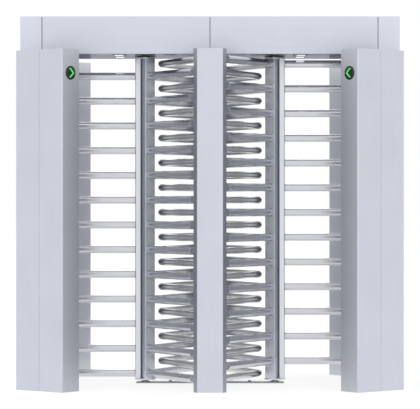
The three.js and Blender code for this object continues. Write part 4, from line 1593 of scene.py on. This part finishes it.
    def solenoid(self) -> None:
        """Makes the solenoid: a folded steel bracket round a wound coil with end cheeks."""
        x, front, length = self.plunger_x, self.coil_front, self.coil_length
        low, top = self.plate_top, self.plate_top + self.coil_height
        half, plate = self.coil_half, self.bracket
        bracket = rounded_line([
            (front, top), (front, low), (front - length, low), (front - length, top),
        ], plate, CORNER_STEPS)[::-1]
        skin = Skin().add(facing(bent(bracket, plate, x - half, x + half), Axis.X))
        bore, wound, cheek = self.plunger_radius + GAP, self.winding_radius, self.cheek_radius
        start, end = front - length + plate, front - plate
        first, last = start + self.cheek, end - self.cheek
        winding = box_outline((bore, first), (wound, last), 2 * ROUNDED)
        cheeks = [box_outline((bore, low), (cheek, high), ROUNDED, EDGE_STEPS)
                  for low, high in ((start, first), (last, end))]
        origin = x, 0.0, self.plunger_z
        skin.add(facing(turned(winding), Axis.Y, origin), closed=True, slot=1)
        for disc in cheeks:
            skin.add(facing(turned(disc), Axis.Y, origin), closed=True, slot=2)
        self.keep(skin, "solenoid_coil", "lock_solenoid", "coil_housing", ["zinc", "copper", "coil"],
                  edge=self.bracket_edge)

    def plunger(self) -> None:
        """Makes the plunger: a rod with a turned groove near its eased tip."""
        back, tip = self.coil_front - self.plunger_inside, self.plunger_tip
        radius, waist = self.plunger_radius, self.plunger_waist
        low, high = tip - self.groove_start, tip - self.groove_end
        line = rounded_line([
            (0, back), (radius, back), (radius, low), (waist, low),
            (waist, high), (radius, high), (radius, tip), (0, tip),
        ], [ROUNDED, EASED, EASED, EASED, EASED, ROUNDED], ROUND_EDGE_STEPS)
        rings = facing(turned(line, self.plunger_steps), Axis.Y, (self.plunger_x, 0.0, self.plunger_z))
        self.keep(Skin().add(rings, capped=False), "plunger_rod", "solenoid_plunger", "zinc_plate", ["core"],
                  "plunger")

    def build(self) -> None:
        """Makes the mechanism and coats the plate it stands on."""
        self.bearing()
        self.wheel()
        self.pawl()
        self.solenoid()
        self.plunger()
        self.coat("mechanism_plate", "zinc")


@dataclass
class ControlUnit(Assembly):
    """The control unit: a moulded case with a lid, four screws and a row of terminals."""

    half_width: float = 0.130
    half_depth: float = 0.090
    base: float = 2.068
    height: float = 0.070
    lid: float = 0.022
    lid_overhang: float = 0.003
    lid_set: float = 0.003
    case_corner: float = 0.006
    lid_corner: float = 0.008
    case_edge: float = 0.001
    lid_edge: float = 0.002
    screw_inset: tuple[float, float] = (0.014, 0.018)
    screw_size: tuple[float, float] = (0.0045, 0.0028)
    terminals: int = 6
    terminal_pitch: float = 0.030
    terminal_half: float = 0.012
    terminal_depth: float = 0.014
    terminal_rise: float = 0.012
    terminal_front: float = 0.007

    def build(self) -> None:
        """Makes the case, its lid with an overhanging rim, the screws and the terminals."""
        top = self.base + self.height
        split = top - self.lid
        lid_top = top - self.lid_set
        wide, deep, over = self.half_width, self.half_depth, self.lid_overhang
        front = self.terminal_front - deep
        case = box_outline((over - wide, front + over), (wide - over, deep - over), self.case_corner)
        cover = box_outline((-wide, front), (wide, deep), self.lid_corner)
        skin = Skin().add(stacked(case, self.base, split, self.case_edge))
        skin.add(stacked(cover, split, lid_top, self.lid_edge), slot=1)
        across, along = self.screw_inset
        for x in (-1, 1):
            for y in (-1, 1):
                spot = x * (wide - across), y * (deep - along) + over, lid_top
                skin.add(button_head(spot, *self.screw_size, Axis.Z), capped=False, slot=2)
        rise = self.base + self.terminal_rise
        for x in (np.arange(self.terminals) - (self.terminals - 1) / 2) * self.terminal_pitch:
            outline = box_outline((x - self.terminal_half, -deep),
                                  (x + self.terminal_half, self.terminal_depth - deep), self.case_edge,
                                  EDGE_STEPS)
            skin.add(stacked(outline, rise, rise + self.terminal_depth, self.case_edge), slot=3)
        self.keep(skin, "control_unit_case", "control_unit", "coil_housing",
                  ["coil", "case", "bolt", "terminal"])


@dataclass(frozen=True)
class Studio:
    """The floor, the lamps, the world and the camera."""

    camera_distance: float = 15.645
    camera_height: float = 1.128
    focal_mm: float = 211.8
    sensor_mm: float = 36.0
    floor_half: float = 60.0
    floor_glow: float = 0.75
    floor_light: float = 1.12
    world_strength: float = 0.80
    view_end: float = 200.0
    lamp_size: float = 3.5
    lamp_aim: tuple[float, float, float] = (0.0, 0.0, 1.1)
    key_place: tuple[float, float, float] = (-4.5, -9.0, 9.5)
    key_power: float = 120.0
    fill_place: tuple[float, float, float] = (5.0, -9.0, 8.5)
    fill_power: float = 110.0
    rear_place: tuple[float, float, float] = (0.0, 6.0, 5.0)
    rear_power: float = 60.0

    def floor(self) -> None:
        """A pale floor that a camera sees partly lit from within, so it stays white and keeps its shadow."""
        half = self.floor_half
        mesh = bpy.data.meshes.new("studio_floor")
        corners = [(-half, -half, 0), (half, -half, 0), (half, half, 0), (-half, half, 0)]
        mesh.from_pydata(corners, [], [(0, 1, 2, 3)])
        finish = bpy.data.materials.new("pale_studio_floor")
        tree = emptied(finish)
        dull = add_node(tree, "BsdfDiffuse", inputs={"Color": linear("f2f3f5")})
        glow = add_node(tree, "Emission", inputs={"Color": linear("ffffff"), "Strength": self.floor_light})
        share = combined(tree, "MULTIPLY", self.seen_rays(tree), self.floor_glow)
        mixed = add_node(tree, "MixShader", inputs={0: share, 1: dull.outputs[0], 2: glow.outputs[0]})
        add_node(tree, "OutputMaterial", inputs={"Surface": mixed.outputs[0]})
        mesh.materials.append(finish)
        linked("studio_floor", mesh)

    def seen_rays(self, tree: Tree) -> Socket:
        """One for rays from the camera, a mirror or glass, else zero."""
        path = add_node(tree, "LightPath").outputs
        seen = combined(tree, "MAXIMUM", path["Is Camera Ray"], path["Is Glossy Ray"])
        return combined(tree, "MAXIMUM", seen, path["Is Transmission Ray"])

    def world(self) -> None:
        """A white surround for what is seen, and a softer one for what it lights."""
        made = bpy.data.worlds.new("white_surround")
        tree = emptied(made)
        strength = add_node(tree, "MapRange", inputs={
            "Value": self.seen_rays(tree), "To Min": self.world_strength, "To Max": 1.0}).outputs[0]
        back = add_node(tree, "Background", inputs={"Color": linear("ffffff"), "Strength": strength})
        add_node(tree, "OutputWorld", inputs={"Surface": back.outputs[0]})
        bpy.context.scene.world = made

    def lamp(self, name: str, place: Sequence[float], power: float) -> None:
        """Adds a square soft lamp that points at the gate.

        Args:
            name: the lamp's name.
            place: where it hangs.
            power: its power in watts.
        """
        data = bpy.data.lights.new(name, "AREA")
        data.size = self.lamp_size
        data.energy = power
        made = linked(name, data)
        made.location = place
        away = Vector(place) - Vector(self.lamp_aim)
        made.rotation_euler = away.to_track_quat("Z", "Y").to_euler()

    def camera(self) -> None:
        """Adds the camera, level and straight on."""
        data = bpy.data.cameras.new("photo_camera")
        data.sensor_width = self.sensor_mm
        data.lens = self.focal_mm
        data.clip_end = self.view_end
        made = linked("photo_camera", data)
        made.location = (0.0, -self.camera_distance, self.camera_height)
        made.rotation_euler = (math.radians(90), 0.0, 0.0)
        bpy.context.scene.camera = made

    def build(self) -> None:
        """Sets up the studio."""
        self.floor()
        self.world()
        self.lamp("key_softbox", self.key_place, self.key_power)
        self.lamp("fill_softbox", self.fill_place, self.fill_power)
        self.lamp("rear_softbox", self.rear_place, self.rear_power)
        self.camera()
        bpy.context.scene.view_settings.view_transform = "Standard"


def main() -> None:
    """Builds the gate's sub-assemblies in order, then the studio."""
    logging.basicConfig(level=logging.INFO, format="%(name)s %(message)s")
    shared = Layout(), {word: finish.material() for word, finish in FINISHES.items()}
    assemblies: list[Assembly] = [Cabinet(*shared, side) for side in Side]
    assemblies += [Signal(*shared, side, end) for side in Side for end in End]
    assemblies += [Column(*shared, end) for end in End]
    assemblies += [kind(*shared, side) for kind in (Comb, Rotor) for side in Side]
    assemblies.append(Floor(*shared))
    assemblies += [kind(*shared, side) for kind in (FloorBearing, Header, Lamp, Lock) for side in Side]
    assemblies.append(ControlUnit(*shared))
    for assembly in assemblies:
        assembly.build()
    Studio().build()


if __name__ == "__main__":
    main()
